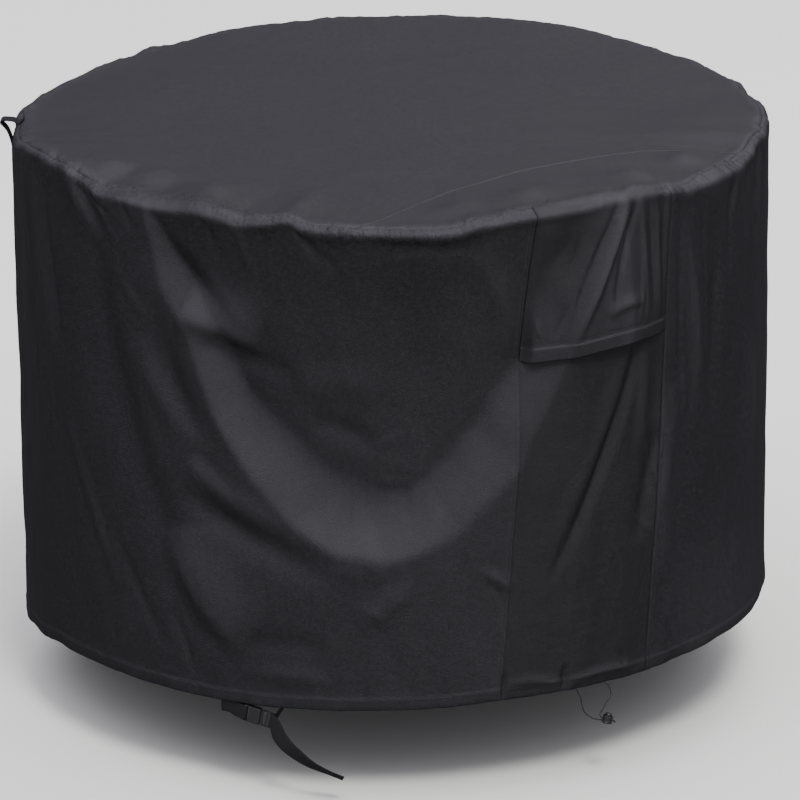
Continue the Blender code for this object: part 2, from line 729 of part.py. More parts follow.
def side_grid(first, last, nominal, first_reach, last_reach):
    """Azimuth and run on a side panel between two leaning seams, each (top, hem) in degrees.

    The columns follow nominal at the top, and lean with each seam within its reach."""
    run = side_runs(nominal)
    for _ in range(2):
        share = np.clip((run - COVER_RADIUS) / SIDE_RUN, 0, 1)
        near_first = np.clip(1 - (nominal - nominal[0]) / first_reach, 0, 1)[:, None]
        near_last = np.clip(1 - (nominal[-1] - nominal) / last_reach, 0, 1)[:, None]
        shift = share * (first[1] - first[0]) * near_first
        azimuth = nominal[:, None] + shift + share * (last[1] - last[0]) * near_last
        rows = range(run.shape[1])
        run = np.stack([side_runs(azimuth[:, j])[:, j] for j in rows], -1)
    return azimuth, run


def hem_thickness(rows):
    """Cloth thickness by row: the last two rows are the folded hem."""
    return np.where(np.arange(rows) >= rows - 2, HEM_FOLD, CLOTH)


def angle_of(length):
    return math.degrees(length / COVER_RADIUS)


def spans(stops, steps):
    """Evenly filled azimuths between the stops, about a step apart in each span."""
    filled = [np.array([stops[0]])]
    for low, high, step in zip(stops, stops[1:], steps):
        filled.append(np.linspace(low, high, max(2, round((high - low) / step) + 1))[1:])
    return np.concatenate(filled)


def skirt_columns():
    """Azimuths of the skirt's columns at the rim, with one at each end of the top's seam."""
    start, end = chord_ends(-SEAM_GAP / 2)
    edge = angle_of(SEAM_GAP / 2)
    stops = [VENT_RIGHT_TOP + edge, end, BACK_FROM, BACK_TO, start + 360]
    steps = [COLUMN_STEP, COLUMN_STEP, BACK_COLUMN_STEP, COLUMN_STEP, COLUMN_STEP]
    return spans([*stops, VENT_LEFT_TOP + 360 - edge], steps)


def vent_columns():
    edge = angle_of(SEAM_GAP / 2)
    return np.linspace(VENT_LEFT_TOP + edge, VENT_RIGHT_TOP - edge, VENT_COLUMNS)


def top_panel(into):
    """The round top, less the segment beyond the seam across it."""
    start, end = chord_ends(-SEAM_GAP / 2)
    rim = np.concatenate([vent_columns(), skirt_columns()])
    between = np.sort(np.where(rim > 360 + start, rim - 360, rim))
    between = between[(between > start + 0.01) & (between < 360 + start - 0.01)]
    azimuth = np.concatenate([[start], between, [360 + start]])
    beyond = (azimuth > start + 1e-3) & (azimuth < end - 1e-3)
    rim_edge = rim_seam_run(azimuth) - SEAM_GAP / 2
    edge = np.where(beyond, chord_radius(azimuth, -SEAM_GAP / 2), rim_edge)
    share = np.array([0, 0.34, 0.62, 0.81, 0.925, 0.975, 1.0])
    run = edge[:, None] * share
    azimuth = np.broadcast_to(azimuth[:, None], run.shape)
    cover_sheet("top_panel", azimuth, run, CLOTH, CLOTH_COLOUR, into)


def top_segment(into):
    """The smaller piece of the top, between the seam across it and the rim seam."""
    start, end = chord_ends(SEAM_GAP / 2)
    rim = (np.concatenate([vent_columns(), skirt_columns()]) + 180) % 360 - 180
    inside = np.sort(rim[(rim > start + 0.3) & (rim < end - 0.3)])
    azimuth = np.concatenate([[start + 0.02], inside, [end - 0.02]])
    inner = chord_radius(azimuth, SEAM_GAP / 2)
    outer = rim_seam_run(azimuth) - SEAM_GAP / 2
    share = np.array([0, 0.34, 0.66, 0.88, 0.97, 1.0])
    run = inner[:, None] + (outer - inner)[:, None] * share
    azimuth = np.broadcast_to(azimuth[:, None], run.shape)
    cover_sheet("top_segment", azimuth, run, CLOTH, CLOTH_COLOUR, into)


def skirt_panel(into):
    """One long strip from the vent's right seam round the back to its left seam."""
    first, last = (VENT_RIGHT_TOP, VENT_RIGHT_HEM), (VENT_LEFT_TOP, VENT_LEFT_HEM)
    azimuth, run = side_grid(first, last, skirt_columns(), 30, 60)
    cover_sheet("skirt_panel", azimuth, run, hem_thickness(run.shape[1]), CLOTH_COLOUR, into)


def vent_grid():
    """Azimuth and run on the vent panel, between its two seams, lower on the left at the flap."""
    first, last = (VENT_LEFT_TOP, VENT_LEFT_HEM), (VENT_RIGHT_TOP, VENT_RIGHT_HEM)
    width = VENT_RIGHT_TOP - VENT_LEFT_TOP
    azimuth, run = side_grid(first, last, vent_columns(), width, width)
    share = np.linspace(0, 1, azimuth.shape[0])[:, None]
    lean = (first[1] - first[0]) * (1 - share) + (last[1] - last[0]) * share
    fall = run - COVER_RADIUS + FALL_AT_RADIUS
    fade = smooth(fall / FLAP_FALL) * smooth((FLAP_SLANT_END - fall) / FLAP_SLANT_FADE)
    slant = FLAP_SLANT * (1 - share) ** 2 * fade
    return azimuth + lean * slant / SIDE_RUN, run + slant


def vent_panel(into):
    azimuth, run = vent_grid()
    cover_sheet("vent_panel", azimuth, run, hem_thickness(run.shape[1]), VENT_COLOUR, into)


def vent_flap(into):
    """The gathered flap over the top of the vent panel, with its doubled lower band."""
    azimuth, run = vent_grid()
    rows = RIM_ROWS + 1 + len(UPPER_FALLS)
    azimuth, run = azimuth[:, :rows], run[:, :rows]
    fall = np.maximum(run - COVER_RADIUS + FALL_AT_RADIUS, 0.0)
    points = unrolled(azimuth.ravel(), fall.ravel())
    gathers = sum(np.maximum(fold_relief(points, fold), 0) for fold in FLAP_FOLDS)
    share = np.linspace(0, 1, azimuth.shape[0])[:, None]
    hung = np.sin(np.pi * share**1.7) * smooth(fall / FLAP_FALL) ** 1.5
    sewn = smooth(np.minimum(share, 1 - share) / 0.09)
    stand = SEAM_GAP + sewn * (gathers.reshape(run.shape) + FLAP_STAND * hung)
    thickness = np.where(np.arange(rows) >= rows - 2, FLAP_BAND_THICK, CLOTH)
    cover_sheet("vent_flap", azimuth, run, thickness, VENT_COLOUR, into, stand)


# ---------------------------------------------------------------------------- sewn-on pieces


def pull_loop(into):
    """A short webbing loop on the rim: flat on the cloth at both ends, a bight between."""
    along, outwards, up = side_frame(LOOP_AZIMUTH)
    seat = SEAM_GAP + WEBBING / 2
    over = np.linspace(COVER_RADIUS - 0.018, COVER_RADIUS - 0.006, 4)
    under = run_at_fall(LOOP_AZIMUTH, np.linspace(0.048, 0.064, 4))
    runs = np.concatenate([over, under])
    flat = [Vector(p) for p in cover_points([LOOP_AZIMUTH] * 8, runs, [-seat] * 8)]
    bend = [outwards * (COVER_RADIUS + point.reach) + up * point.height for point in LOOP_BIGHT]
    route = [*flat[:4], *bend, *flat[4:]]
    webbing("pull_loop", route, [along] * len(route), WEBBING_WIDTH, WEBBING, into)


def buckle_place():
    """Matrix of the buckle: X along the strap to the right, Y across it, Z outwards."""
    along, outwards, up = side_frame(BUCKLE_AZIMUTH)
    tilt = math.radians(BUCKLE_TILT)
    ahead = along * math.cos(tilt) - up * math.sin(tilt)
    across = along * math.sin(tilt) + up * math.cos(tilt)
    place = Matrix((ahead, across, outwards)).transposed().to_4x4()
    place.translation = side_point(BUCKLE_AZIMUTH, STRAP_RADIUS, BUCKLE_FALL)
    return place


def buckle(into, cutters):
    """A side-release buckle: a socket with a bar for its webbing, and a tongue pushed home."""
    half_length, half_height, half_depth = BUCKLE_LENGTH / 2, BUCKLE_HEIGHT / 2, BUCKLE_DEPTH / 2
    slot_half = WEBBING_WIDTH / 2 + 0.0004
    socket = box(
        "buckle_socket",
        (-half_length, -half_height, -half_depth),
        (0.004, half_height, half_depth),
        0.0012,
        PLASTIC_COLOUR,
        into,
    )
    through = half_depth + 0.002
    bar_inside = half_length - BUCKLE_BAR
    thin = BUCKLE_BAR / 2
    cuts = [
        ("slot_cut", (-bar_inside, -slot_half, -through), (-0.0170, slot_half, through)),
        ("front_cut", (-0.0300, -slot_half, thin), (-0.0200, slot_half, through)),
        ("back_cut", (-0.0300, -slot_half, -through), (-0.0200, slot_half, -thin)),
        ("mouth_cut", (-0.0120, -0.0112, -0.0026), (0.0060, 0.0112, 0.0026)),
        ("side_cut", (-0.0090, -0.0200, -0.0020), (-0.0015, 0.0200, 0.0020)),
    ]
    holes = [box(*each, 0, PLASTIC_COLOUR, cutters) for each in cuts]
    for hole in holes:
        cut(socket, hole)
    ear = half_height - 0.0004
    tongue = outline(
        "buckle_tongue",
        [
            [
                (0.0043, -0.0105), (0.0020, -0.0105), (-0.0012, -0.0108), (-0.0060, -0.0106),
                (-0.0095, -0.0080), (-0.0095, -0.0066), (-0.0050, -0.0070), (0.0030, -0.0078),
                (0.0030, -0.0022), (-0.0100, -0.0018), (-0.0100, 0.0018), (0.0030, 0.0022),
                (0.0030, 0.0078), (-0.0050, 0.0070), (-0.0095, 0.0066), (-0.0095, 0.0080),
                (-0.0060, 0.0106), (-0.0012, 0.0108), (0.0020, 0.0105), (0.0043, 0.0105),
                (0.0060, ear), (half_length, ear), (half_length, -ear), (0.0060, -ear),
            ],
            rectangle(0.0085, 0.0130, -slot_half, slot_half),
            rectangle(0.0162, bar_inside, -slot_half, slot_half),
        ],
        BUCKLE_BAR,
        PLASTIC_COLOUR,
        into,
    )
    for piece in (socket, tongue, *holes):
        piece.matrix_world = buckle_place()


def lock_place():
    """Matrix of the cord lock: Z up its button, X along the cord that leaves it."""
    along, outwards, up = side_frame(LOCK_AZIMUTH)
    tilt = math.radians(LOCK_TILT)
    button = along * math.sin(tilt) + up * math.cos(tilt)
    leaving = along * math.cos(tilt) - up * math.sin(tilt)
    place = Matrix((leaving, button.cross(leaving), button)).transposed().to_4x4()
    place.translation = side_point(LOCK_AZIMUTH, CORD_RADIUS, LOCK_FALL)
    return place


def cord_lock(into):
    """A round push-button cord lock."""
    half = LOCK_HEIGHT / 2
    bore = BUTTON_RADIUS + SEAM_GAP
    floor = half - BUTTON_TRAVEL - 0.0043
    barrel = [
        (bore, floor), (bore, half - 0.0004), (bore + 0.0004, half), (LOCK_RADIUS - 0.0012, half),
        (LOCK_RADIUS - 0.0003, half - 0.0004), (LOCK_RADIUS, half - 0.0013),
        (LOCK_RADIUS, 0.62 * half), (LOCK_RADIUS - 0.0004, 0.50 * half),
        (LOCK_RADIUS - 0.0004, -0.50 * half), (LOCK_RADIUS, -0.62 * half),
        (LOCK_RADIUS - 0.0005, -0.76 * half), (LOCK_RADIUS - 0.0020, -0.90 * half),
        (LOCK_RADIUS - 0.0045, -half), (0, -half),
    ]
    button = [
        (0, half + BUTTON_RISE), (0.0030, half + BUTTON_RISE - 0.0003),
        (0.0048, half + BUTTON_RISE - 0.0010), (BUTTON_RADIUS, half + BUTTON_RISE - 0.0024),
        (BUTTON_RADIUS, floor + BUTTON_TRAVEL + SEAM_GAP), (0, floor + BUTTON_TRAVEL + SEAM_GAP),
    ]
    pieces = [
        turned("lock_barrel", [(0, floor), *barrel], PLASTIC_COLOUR, into),
        turned("lock_button", button, PLASTIC_COLOUR, into),
    ]
    for piece in pieces:
        piece.matrix_world = lock_place()


def drawstring(into):
    """The cord's two ends between the hem and the lock, and the short end beyond the lock."""
    place = lock_place()
    mouth = -(LOCK_RADIUS - 0.0004) - SEAM_GAP
    for name, rows, side in (
        ("drawstring_left", CORD_LEFT, -0.5),
        ("drawstring_right", CORD_RIGHT, 0.5),
    ):
        route = [side_point(row.azimuth, CORD_RADIUS + row.stand_off, row.fall) for row in rows]
        height = side * CORD_ENTRY_SPACING
        route += [place @ Vector((mouth - 0.003, 0, height)), place @ Vector((mouth, 0, height))]
        tube(name, smooth_route(route, 3), CORD_DIAMETER, WEBBING_COLOUR, into)
    leaving = [(-mouth, 0, 0), (-mouth + 0.003, 0, 0), (-mouth + 0.006, 0, -0.001)]
    end = tube(
        "drawstring_end",
        [place @ Vector(point) for point in (*leaving, (-mouth + 0.0085, 0, -0.003))],
        CORD_DIAMETER * 1.3,
        WEBBING_COLOUR,
        into,
    )
    end.data.splines[0].points[-1].radius = 0.6


def build():
    for old in list(bpy.data.objects):
        bpy.data.objects.remove(old)
    cover = collection("furniture_cover")
    cutters = collection("cutters", hidden=True)
    top_panel(cover)
    top_segment(cover)
    skirt_panel(cover)
    vent_panel(cover)
    vent_flap(cover)
    pull_loop(cover)
    hem_straps(cover)
    buckle(cover, cutters)
    drawstring(cover)
    cord_lock(cover)


build()
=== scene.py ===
import math
from collections import namedtuple

import bmesh
import bpy
import numpy as np
from mathutils import Matrix, Vector


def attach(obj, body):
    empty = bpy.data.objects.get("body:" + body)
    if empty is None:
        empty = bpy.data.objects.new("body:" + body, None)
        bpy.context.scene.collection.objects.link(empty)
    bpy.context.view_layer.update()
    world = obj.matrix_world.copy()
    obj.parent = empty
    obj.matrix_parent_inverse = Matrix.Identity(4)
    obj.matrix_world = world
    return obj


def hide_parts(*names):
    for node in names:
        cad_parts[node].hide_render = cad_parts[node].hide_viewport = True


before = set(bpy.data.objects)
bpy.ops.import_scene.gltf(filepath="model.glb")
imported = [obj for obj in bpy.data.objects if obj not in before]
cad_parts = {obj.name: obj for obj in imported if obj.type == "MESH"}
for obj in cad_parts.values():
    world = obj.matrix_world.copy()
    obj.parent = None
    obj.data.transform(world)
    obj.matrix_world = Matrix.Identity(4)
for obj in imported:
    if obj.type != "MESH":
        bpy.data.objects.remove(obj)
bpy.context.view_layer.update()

# ---- Studio
# A pale floor a hand's breadth under the hem, a soft sky that is brightest overhead, one broad
# lamp high in front and a weak one above, and a long lens that looks down at nineteen degrees.

CAMERA_PLACE = (0, -9.091, 2.6712)
CAMERA_DOWN = 0.3271
CAMERA_ROLL = -0.012
FLOOR_RADIUS = 30
FLOOR_HEIGHT = -0.99

camera_data = bpy.data.cameras.new("camera")
camera_data.lens = 250
camera_data.sensor_width = 36
camera_data.shift_x = 0.0091
camera_data.shift_y = -0.0682
camera_data.clip_end = 60
camera = bpy.data.objects.new("camera", camera_data)
bpy.context.scene.collection.objects.link(camera)
camera.matrix_world = (
    Matrix.Translation(CAMERA_PLACE)
    @ Matrix.Rotation(math.pi / 2 - CAMERA_DOWN, 4, "X")
    @ Matrix.Rotation(CAMERA_ROLL, 4, "Z")
)
bpy.context.scene.camera = camera

bpy.ops.object.select_all(action="DESELECT")
bpy.ops.mesh.primitive_circle_add(
    vertices=96, radius=FLOOR_RADIUS, fill_type="NGON", location=(0, 0, FLOOR_HEIGHT)
)
floor = bpy.context.object
floor.name = "studio_floor"
paper = bpy.data.materials.new("studio_paper")
paper.use_nodes = True
paper_shader = paper.node_tree.nodes["Principled BSDF"]
paper_shader.inputs["Base Color"].default_value = (0.80, 0.82, 0.74, 1)
paper_shader.inputs["Roughness"].default_value = 0.9
floor.data.materials.append(paper)
floor.visible_glossy = False

# The sky's strength is its fade from front to back, times its fade down to the floor, plus a
# bright patch overhead.
Fade = namedtuple("Fade", "axis start end low high")
SKY_TO_THE_BACK = Fade("Y", -0.6, 0.4, 0.76, 0.17)
SKY_UP_FROM_THE_FLOOR = Fade("Z", -0.75, 0.45, 0.30, 1.15)
SKY_OVERHEAD = Fade("Z", 0.44, 1.0, 0.0, 1.95)

world = bpy.data.worlds.new("studio_air")
world.use_nodes = True
air_nodes, air_links = world.node_tree.nodes, world.node_tree.links
towards = air_nodes.new("ShaderNodeTexCoord")
axes = air_nodes.new("ShaderNodeSeparateXYZ")
air_links.new(towards.outputs["Generated"], axes.inputs["Vector"])
glow = air_nodes.new("ShaderNodeMath")
glow.operation = "MULTIPLY_ADD"
for fade, term in zip((SKY_TO_THE_BACK, SKY_UP_FROM_THE_FLOOR, SKY_OVERHEAD), glow.inputs):
    ranged = air_nodes.new("ShaderNodeMapRange")
    ranged.interpolation_type = "SMOOTHSTEP"
    ranged.inputs["From Min"].default_value = fade.start
    ranged.inputs["From Max"].default_value = fade.end
    ranged.inputs["To Min"].default_value = fade.low
    ranged.inputs["To Max"].default_value = fade.high
    air_links.new(axes.outputs[fade.axis], ranged.inputs["Value"])
    air_links.new(ranged.outputs["Result"], term)
air_links.new(glow.outputs[0], air_nodes["Background"].inputs["Strength"])
air_nodes["Background"].inputs["Color"].default_value = (0.97, 0.94, 1.08, 1)
bpy.context.scene.world = world


def aimed(place, aim):
    return (Vector(aim) - Vector(place)).to_track_quat("-Z", "Y").to_euler()


high_front_data = bpy.data.lights.new("high_front", "SUN")
high_front_data.energy = 1.9
high_front_data.angle = math.radians(16)
high_front = bpy.data.objects.new("high_front", high_front_data)
high_front.rotation_euler = aimed((0.45, -1.2, 2.1), (0, 0, 0))
bpy.context.scene.collection.objects.link(high_front)

overhead_data = bpy.data.lights.new("overhead", "AREA")
overhead_data.size = 2.2
overhead_data.energy = 32
overhead = bpy.data.objects.new("overhead", overhead_data)
overhead.location = (1.5, 1.9, 2.9)
overhead.rotation_euler = aimed(overhead.location, (0.2, 0, 0))
bpy.context.scene.collection.objects.link(overhead)

# ---- Skirt
# One long strip of black coated polyester from the vent's right seam round the back to its left
# seam. It is sewn to the top along the rim, which the seam draws into small puckers, hangs from
# there in folds, and ends in a hem sewn 22 mm up.

# Lengths are in metres and azimuths in degrees, from the front round to the right. A run goes
# over the cloth from the middle of the top, and a fall goes down the side from the rim.
COVER_RADIUS = 0.645
DEGREES_A_METRE = math.degrees(1 / COVER_RADIUS)
METRES_A_DEGREE = math.radians(1) * COVER_RADIUS
CLOTH = 0.002
SHEET_THICKNESS = 0.0014
SEAM_EASE = 0.0003
SIDE_RUN = 0.81
HEM_DEPTH = 0.022

# A seam's azimuths at the rim and at the hem.
VENT_LEFT = (21.5, 15.5)
VENT_RIGHT = (45.2, 40.0)

Rim = namedtuple("Rim", "azimuth lift rounding inset")
RIM = [
    Rim(-173, 0.004, 0.028, 0.014),
    Rim(-160, 0.003, 0.028, 0.014),
    Rim(-140, -0.006, 0.030, 0.014),
    Rim(-120, -0.010, 0.032, 0.014),
    Rim(-98, -0.006, 0.032, 0.012),
    Rim(-84, -0.004, 0.040, 0.011),
    Rim(-78, 0.006, 0.034, 0.010),
    Rim(-72, 0.019, 0.028, 0.009),
    Rim(-64, 0.027, 0.028, 0.009),
    Rim(-57, 0.029, 0.028, 0.009),
    Rim(-52.5, 0.021, 0.028, 0.011),
    Rim(-48.5, 0.007, 0.028, 0.022),
    Rim(-44, 0.008, 0.026, 0.038),
    Rim(-36, 0.008, 0.026, 0.040),
    Rim(-30, 0.014, 0.026, 0.036),
    Rim(-26.5, 0.010, 0.026, 0.030),
    Rim(-23, 0.003, 0.028, 0.028),
    Rim(-19, 0.007, 0.026, 0.020),
    Rim(-15, 0.015, 0.024, 0.014),
    Rim(-12.8, 0.004, 0.028, 0.014),
    Rim(-10, 0.001, 0.030, 0.014),
    Rim(-3, -0.001, 0.028, 0.014),
    Rim(8, -0.005, 0.030, 0.014),
    Rim(14, 0.006, 0.028, 0.024),
    Rim(19, 0.010, 0.026, 0.032),
    Rim(27, 0.010, 0.026, 0.034),
    Rim(34, 0.014, 0.026, 0.036),
    Rim(40, 0.012, 0.026, 0.030),
    Rim(45, 0.006, 0.028, 0.016),
    Rim(50, -0.003, 0.030, 0.018),
    Rim(56, -0.003, 0.034, 0.028),
    Rim(66, -0.006, 0.034, 0.024),
    Rim(69, 0.000, 0.030, 0.016),
    Rim(73, 0.012, 0.026, 0.012),
    Rim(79, 0.003, 0.028, 0.011),
    Rim(85, 0.005, 0.028, 0.012),
    Rim(104, -0.003, 0.030, 0.014),
    Rim(130, -0.002, 0.030, 0.014),
    Rim(155, 0.006, 0.028, 0.014),
]
Hem = namedtuple("Hem", "azimuth fall")
HEM = [
    Hem(-178, 0.838),
    Hem(-150, 0.846),
    Hem(-120, 0.866),
    Hem(-96, 0.884),
    Hem(-84, 0.880),
    Hem(-73, 0.857),
    Hem(-60, 0.840),
    Hem(-45, 0.835),
    Hem(-22, 0.835),
    Hem(2, 0.829),
    Hem(18, 0.823),
    Hem(40, 0.825),
    Hem(58, 0.819),
    Hem(72, 0.823),
    Hem(86, 0.831),
    Hem(110, 0.829),
    Hem(145, 0.832),
]
Swag = namedtuple("Swag", "azimuth fall width steepness")
SWAG = [
    Swag(-39.0, 0.010, 0.020, 1.0),
    Swag(-36.9, 0.105, 0.037, 1.0),
    Swag(-34.0, 0.170, 0.056, 1.0),
    Swag(-31.4, 0.220, 0.062, 1.2),
    Swag(-29.6, 0.275, 0.058, 1.5),
    Swag(-27.3, 0.333, 0.068, 1.6),
    Swag(-24.6, 0.385, 0.080, 1.7),
    Swag(-20.0, 0.455, 0.100, 1.8),
    Swag(-14.8, 0.523, 0.118, 1.9),
    Swag(-9.0, 0.563, 0.125, 1.9),
    Swag(-2.7, 0.576, 0.118, 1.7),
    Swag(4.5, 0.562, 0.106, 1.3),
    Swag(10.0, 0.523, 0.096, 1.1),
    Swag(14.8, 0.470, 0.098, 1.0),
    Swag(18.8, 0.415, 0.096, 1.0),
    Swag(21.3, 0.355, 0.084, 1.0),
    Swag(25.0, 0.279, 0.066, 1.0),
    Swag(28.5, 0.200, 0.048, 1.0),
    Swag(32.5, 0.100, 0.034, 1.0),
    Swag(36.0, 0.015, 0.024, 1.0),
]
SWAG_DEPTH = 0.066
SWAG_SPREAD = 0.25
SWAG_EDGE_SOFTNESS = 0.03
SWAG_WANDER = 0.005

# A fold's start, middle and end are (azimuth, fall). above is its half width on the side that
# lies left of the way from start to end, which is its upper side where it is drawn rightwards.
Fold = namedtuple("Fold", "start middle end above below height")
FOLDS = [
    Fold((-49, 0.080), (-43.5, 0.350), (-30.5, 0.690), 0.030, 0.040, -0.009),
    Fold((-57, 0.000), (-54, 0.030), (-50.5, 0.075), 0.012, 0.018, 0.006),
    Fold((-55, 0.000), (-50.5, 0.035), (-45, 0.080), 0.018, 0.016, -0.005),
    Fold((-67, 0.040), (-65, 0.160), (-60, 0.340), 0.020, 0.020, 0.005),
    Fold((-80, 0.060), (-78, 0.250), (-75, 0.500), 0.030, 0.030, -0.004),
    Fold((-36.8, 0.045), (-30.2, 0.127), (-22.0, 0.212), 0.014, 0.034, -0.008),
    Fold((-33.0, 0.172), (-27.4, 0.194), (-20.8, 0.217), 0.050, 0.018, 0.025),
    Fold((-31.0, 0.235), (-24.0, 0.238), (-14.5, 0.270), 0.014, 0.022, -0.005),
    Fold((-38.5, 0.150), (-33.6, 0.300), (-26.6, 0.430), 0.026, 0.032, -0.009),
    Fold((-40.0, 0.230), (-35.2, 0.335), (-26.5, 0.417), 0.022, 0.020, 0.005),
    Fold((-31.0, 0.400), (-27.5, 0.432), (-22.5, 0.478), 0.014, 0.014, -0.003),
    Fold((-31.5, 0.420), (-25.6, 0.472), (-16.5, 0.528), 0.024, 0.022, 0.006),
    Fold((-33.0, 0.478), (-23.0, 0.532), (-9.0, 0.606), 0.026, 0.024, -0.010),
    Fold((-34.5, 0.545), (-30.2, 0.650), (-22.0, 0.735), 0.075, 0.026, 0.018),
    Fold((-35.0, 0.600), (-31.5, 0.680), (-26.0, 0.750), 0.022, 0.026, -0.004),
    Fold((-6.0, 0.680), (-1.4, 0.650), (2.6, 0.600), 0.016, 0.014, 0.004),
    Fold((-15.0, 0.290), (-8.0, 0.275), (-1.0, 0.300), 0.030, 0.030, 0.004),
    Fold((-13.0, 0.347), (-8.0, 0.360), (-2.0, 0.392), 0.018, 0.016, -0.004),
    Fold((0.5, 0.060), (3.0, 0.240), (0.5, 0.420), 0.060, 0.070, -0.010),
    Fold((-1.0, 0.044), (7.0, 0.034), (15.0, 0.050), 0.016, 0.016, -0.003),
    Fold((12.0, 0.060), (17.0, 0.150), (17.0, 0.240), 0.022, 0.022, 0.006),
    Fold((22.8, 0.630), (33.4, 0.395), (38.5, 0.225), 0.009, 0.011, -0.009),
    Fold((22.0, 0.585), (31.8, 0.389), (36.6, 0.240), 0.016, 0.012, 0.002),
    Fold((38.5, 0.440), (39.5, 0.340), (40.0, 0.250), 0.012, 0.012, 0.005),
    Fold((38.0, 0.590), (40.3, 0.480), (42.0, 0.400), 0.014, 0.012, -0.006),
    Fold((12.5, 0.600), (14.5, 0.606), (17.0, 0.632), 0.008, 0.008, 0.004),
    Fold((43.5, 0.680), (43.8, 0.480), (46.0, 0.330), 0.024, 0.024, 0.008),
    Fold((48.0, 0.050), (50.5, 0.220), (51.5, 0.420), 0.016, 0.016, 0.006),
    Fold((55.0, 0.040), (56.0, 0.200), (55.0, 0.420), 0.022, 0.022, -0.005),
    Fold((60.0, 0.190), (61.0, 0.080), (62.5, 0.010), 0.012, 0.012, -0.005),
    Fold((71.0, 0.200), (72.0, 0.090), (73.0, 0.010), 0.016, 0.016, 0.006),
    Fold((66.0, 0.300), (68.0, 0.450), (66.0, 0.640), 0.040, 0.040, 0.006),
    Fold((46.0, 0.815), (60.0, 0.800), (76.0, 0.815), 0.130, 0.040, 0.012),
]
# The finer creases, which are too small for the solids.
Crease = namedtuple("Crease", "start middle end half_width height")
CREASES = [
    Crease((-54.5, 0.000), (-49.5, 0.022), (-45.2, 0.044), 0.005, -0.003),
    Crease((-50, 0.010), (-47, 0.045), (-45, 0.085), 0.006, 0.003),
    Crease((-43, 0.000), (-42, 0.030), (-40, 0.060), 0.005, -0.003),
    Crease((-46, 0.100), (-41, 0.170), (-37, 0.200), 0.007, 0.002),
    Crease((-30, 0.010), (-27.5, 0.040), (-26, 0.090), 0.009, -0.002),
    Crease((-23, 0.010), (-22.4, 0.045), (-21, 0.100), 0.006, 0.003),
    Crease((-20, 0.000), (-19, 0.030), (-18.6, 0.060), 0.008, -0.002),
    Crease((-15.4, 0.000), (-12.5, 0.030), (-8, 0.080), 0.010, -0.004),
    Crease((-12, 0.010), (-10, 0.060), (-9.5, 0.120), 0.008, 0.002),
    Crease((-3.8, 0.392), (-1, 0.380), (2, 0.374), 0.006, 0.002),
    Crease((-3, 0.445), (-0.5, 0.452), (3.6, 0.447), 0.006, 0.002),
    Crease((-4.6, 0.600), (-7, 0.588), (-10, 0.594), 0.006, 0.002),
    Crease((-6, 0.620), (-3, 0.612), (1, 0.592), 0.006, -0.002),
    Crease((-7, 0.650), (-4, 0.655), (-1, 0.680), 0.007, 0.002),
    Crease((21.6, 0.182), (21.8, 0.198), (22.6, 0.212), 0.003, 0.002),
    Crease((13.8, 0.598), (15.0, 0.610), (16.8, 0.628), 0.003, 0.003),
    Crease((12.9, 0.606), (14.2, 0.622), (15.8, 0.650), 0.004, -0.002),
    Crease((39.8, 0.421), (41, 0.460), (42.3, 0.504), 0.004, 0.003),
    Crease((37.5, 0.543), (39.5, 0.563), (41.7, 0.585), 0.004, 0.003),
    Crease((43.6, 0.430), (42.8, 0.470), (42.6, 0.520), 0.005, -0.003),
    Crease((46.8, 0.070), (47.0, 0.180), (46.6, 0.300), 0.004, -0.003),
    Crease((48.6, 0.082), (50.4, 0.200), (51.2, 0.345), 0.005, 0.003),
    Crease((48.0, 0.288), (48.2, 0.340), (48.3, 0.394), 0.005, 0.003),
    Crease((52.6, 0.050), (53.0, 0.180), (53.4, 0.330), 0.006, -0.002),
    Crease((61.6, 0.035), (61.2, 0.070), (60.4, 0.112), 0.005, -0.003),
    Crease((63.8, 0.000), (62.5, 0.060), (60.4, 0.128), 0.005, 0.003),
    Crease((66.8, 0.005), (67.0, 0.035), (66.0, 0.080), 0.005, -0.004),
    Crease((70.5, 0.000), (69.6, 0.030), (69.6, 0.070), 0.005, 0.003),
    Crease((77.0, 0.010), (76.0, 0.050), (75.0, 0.100), 0.007, -0.003),
    Crease((-62.5, 0.050), (-61.5, 0.150), (-58.5, 0.280), 0.008, -0.003),
    Crease((-70, 0.120), (-69, 0.260), (-66, 0.420), 0.010, -0.003),
    Crease((-73, 0.020), (-72, 0.110), (-70, 0.240), 0.010, 0.003),
    Crease((-57, 0.420), (-51, 0.560), (-45, 0.690), 0.012, 0.003),
    Crease((-47, 0.560), (-41, 0.680), (-36, 0.760), 0.010, -0.003),
    Crease((-35.5, 0.690), (-33.0, 0.740), (-31.5, 0.800), 0.008, -0.003),
    Crease((25.6, 0.776), (25.4, 0.800), (25.5, 0.824), 0.004, -0.006),
    Crease((15.5, 0.800), (20, 0.796), (24.5, 0.806), 0.006, 0.004),
    Crease((26.5, 0.806), (32, 0.802), (38.5, 0.806), 0.006, 0.004),
    Crease((15.8, 0.776), (15.8, 0.798), (15.4, 0.822), 0.004, -0.003),
    Crease((34.5, 0.770), (35.5, 0.785), (36, 0.806), 0.004, -0.003),
    Crease((-24, 0.728), (-17, 0.722), (-10, 0.726), 0.016, -0.003),
    Crease((-22, 0.780), (-16, 0.776), (-9, 0.782), 0.014, 0.004),
]
FOLDS += [Fold(*crease[:4], crease.half_width, crease.height) for crease in CREASES]
BACK_FOLD_COUNT = 11
BACK_FOLD_SWING = 0.9
BACK_FOLD_HEIGHT = 0.0065
BACK_FOLD_FROM = 92
BACK_FOLD_FULL = 122
HEM_FULLNESS = 0.0012
HEM_EDGE_TURN = 0.0015
HEM_WAVE = 0.0008
SIDE_UNEVENNESS = 0.0015
TOP_UNEVENNESS = 0.0012
CREST_HEIGHT = 0.0040
PLEAT_HEIGHT = 0.0050
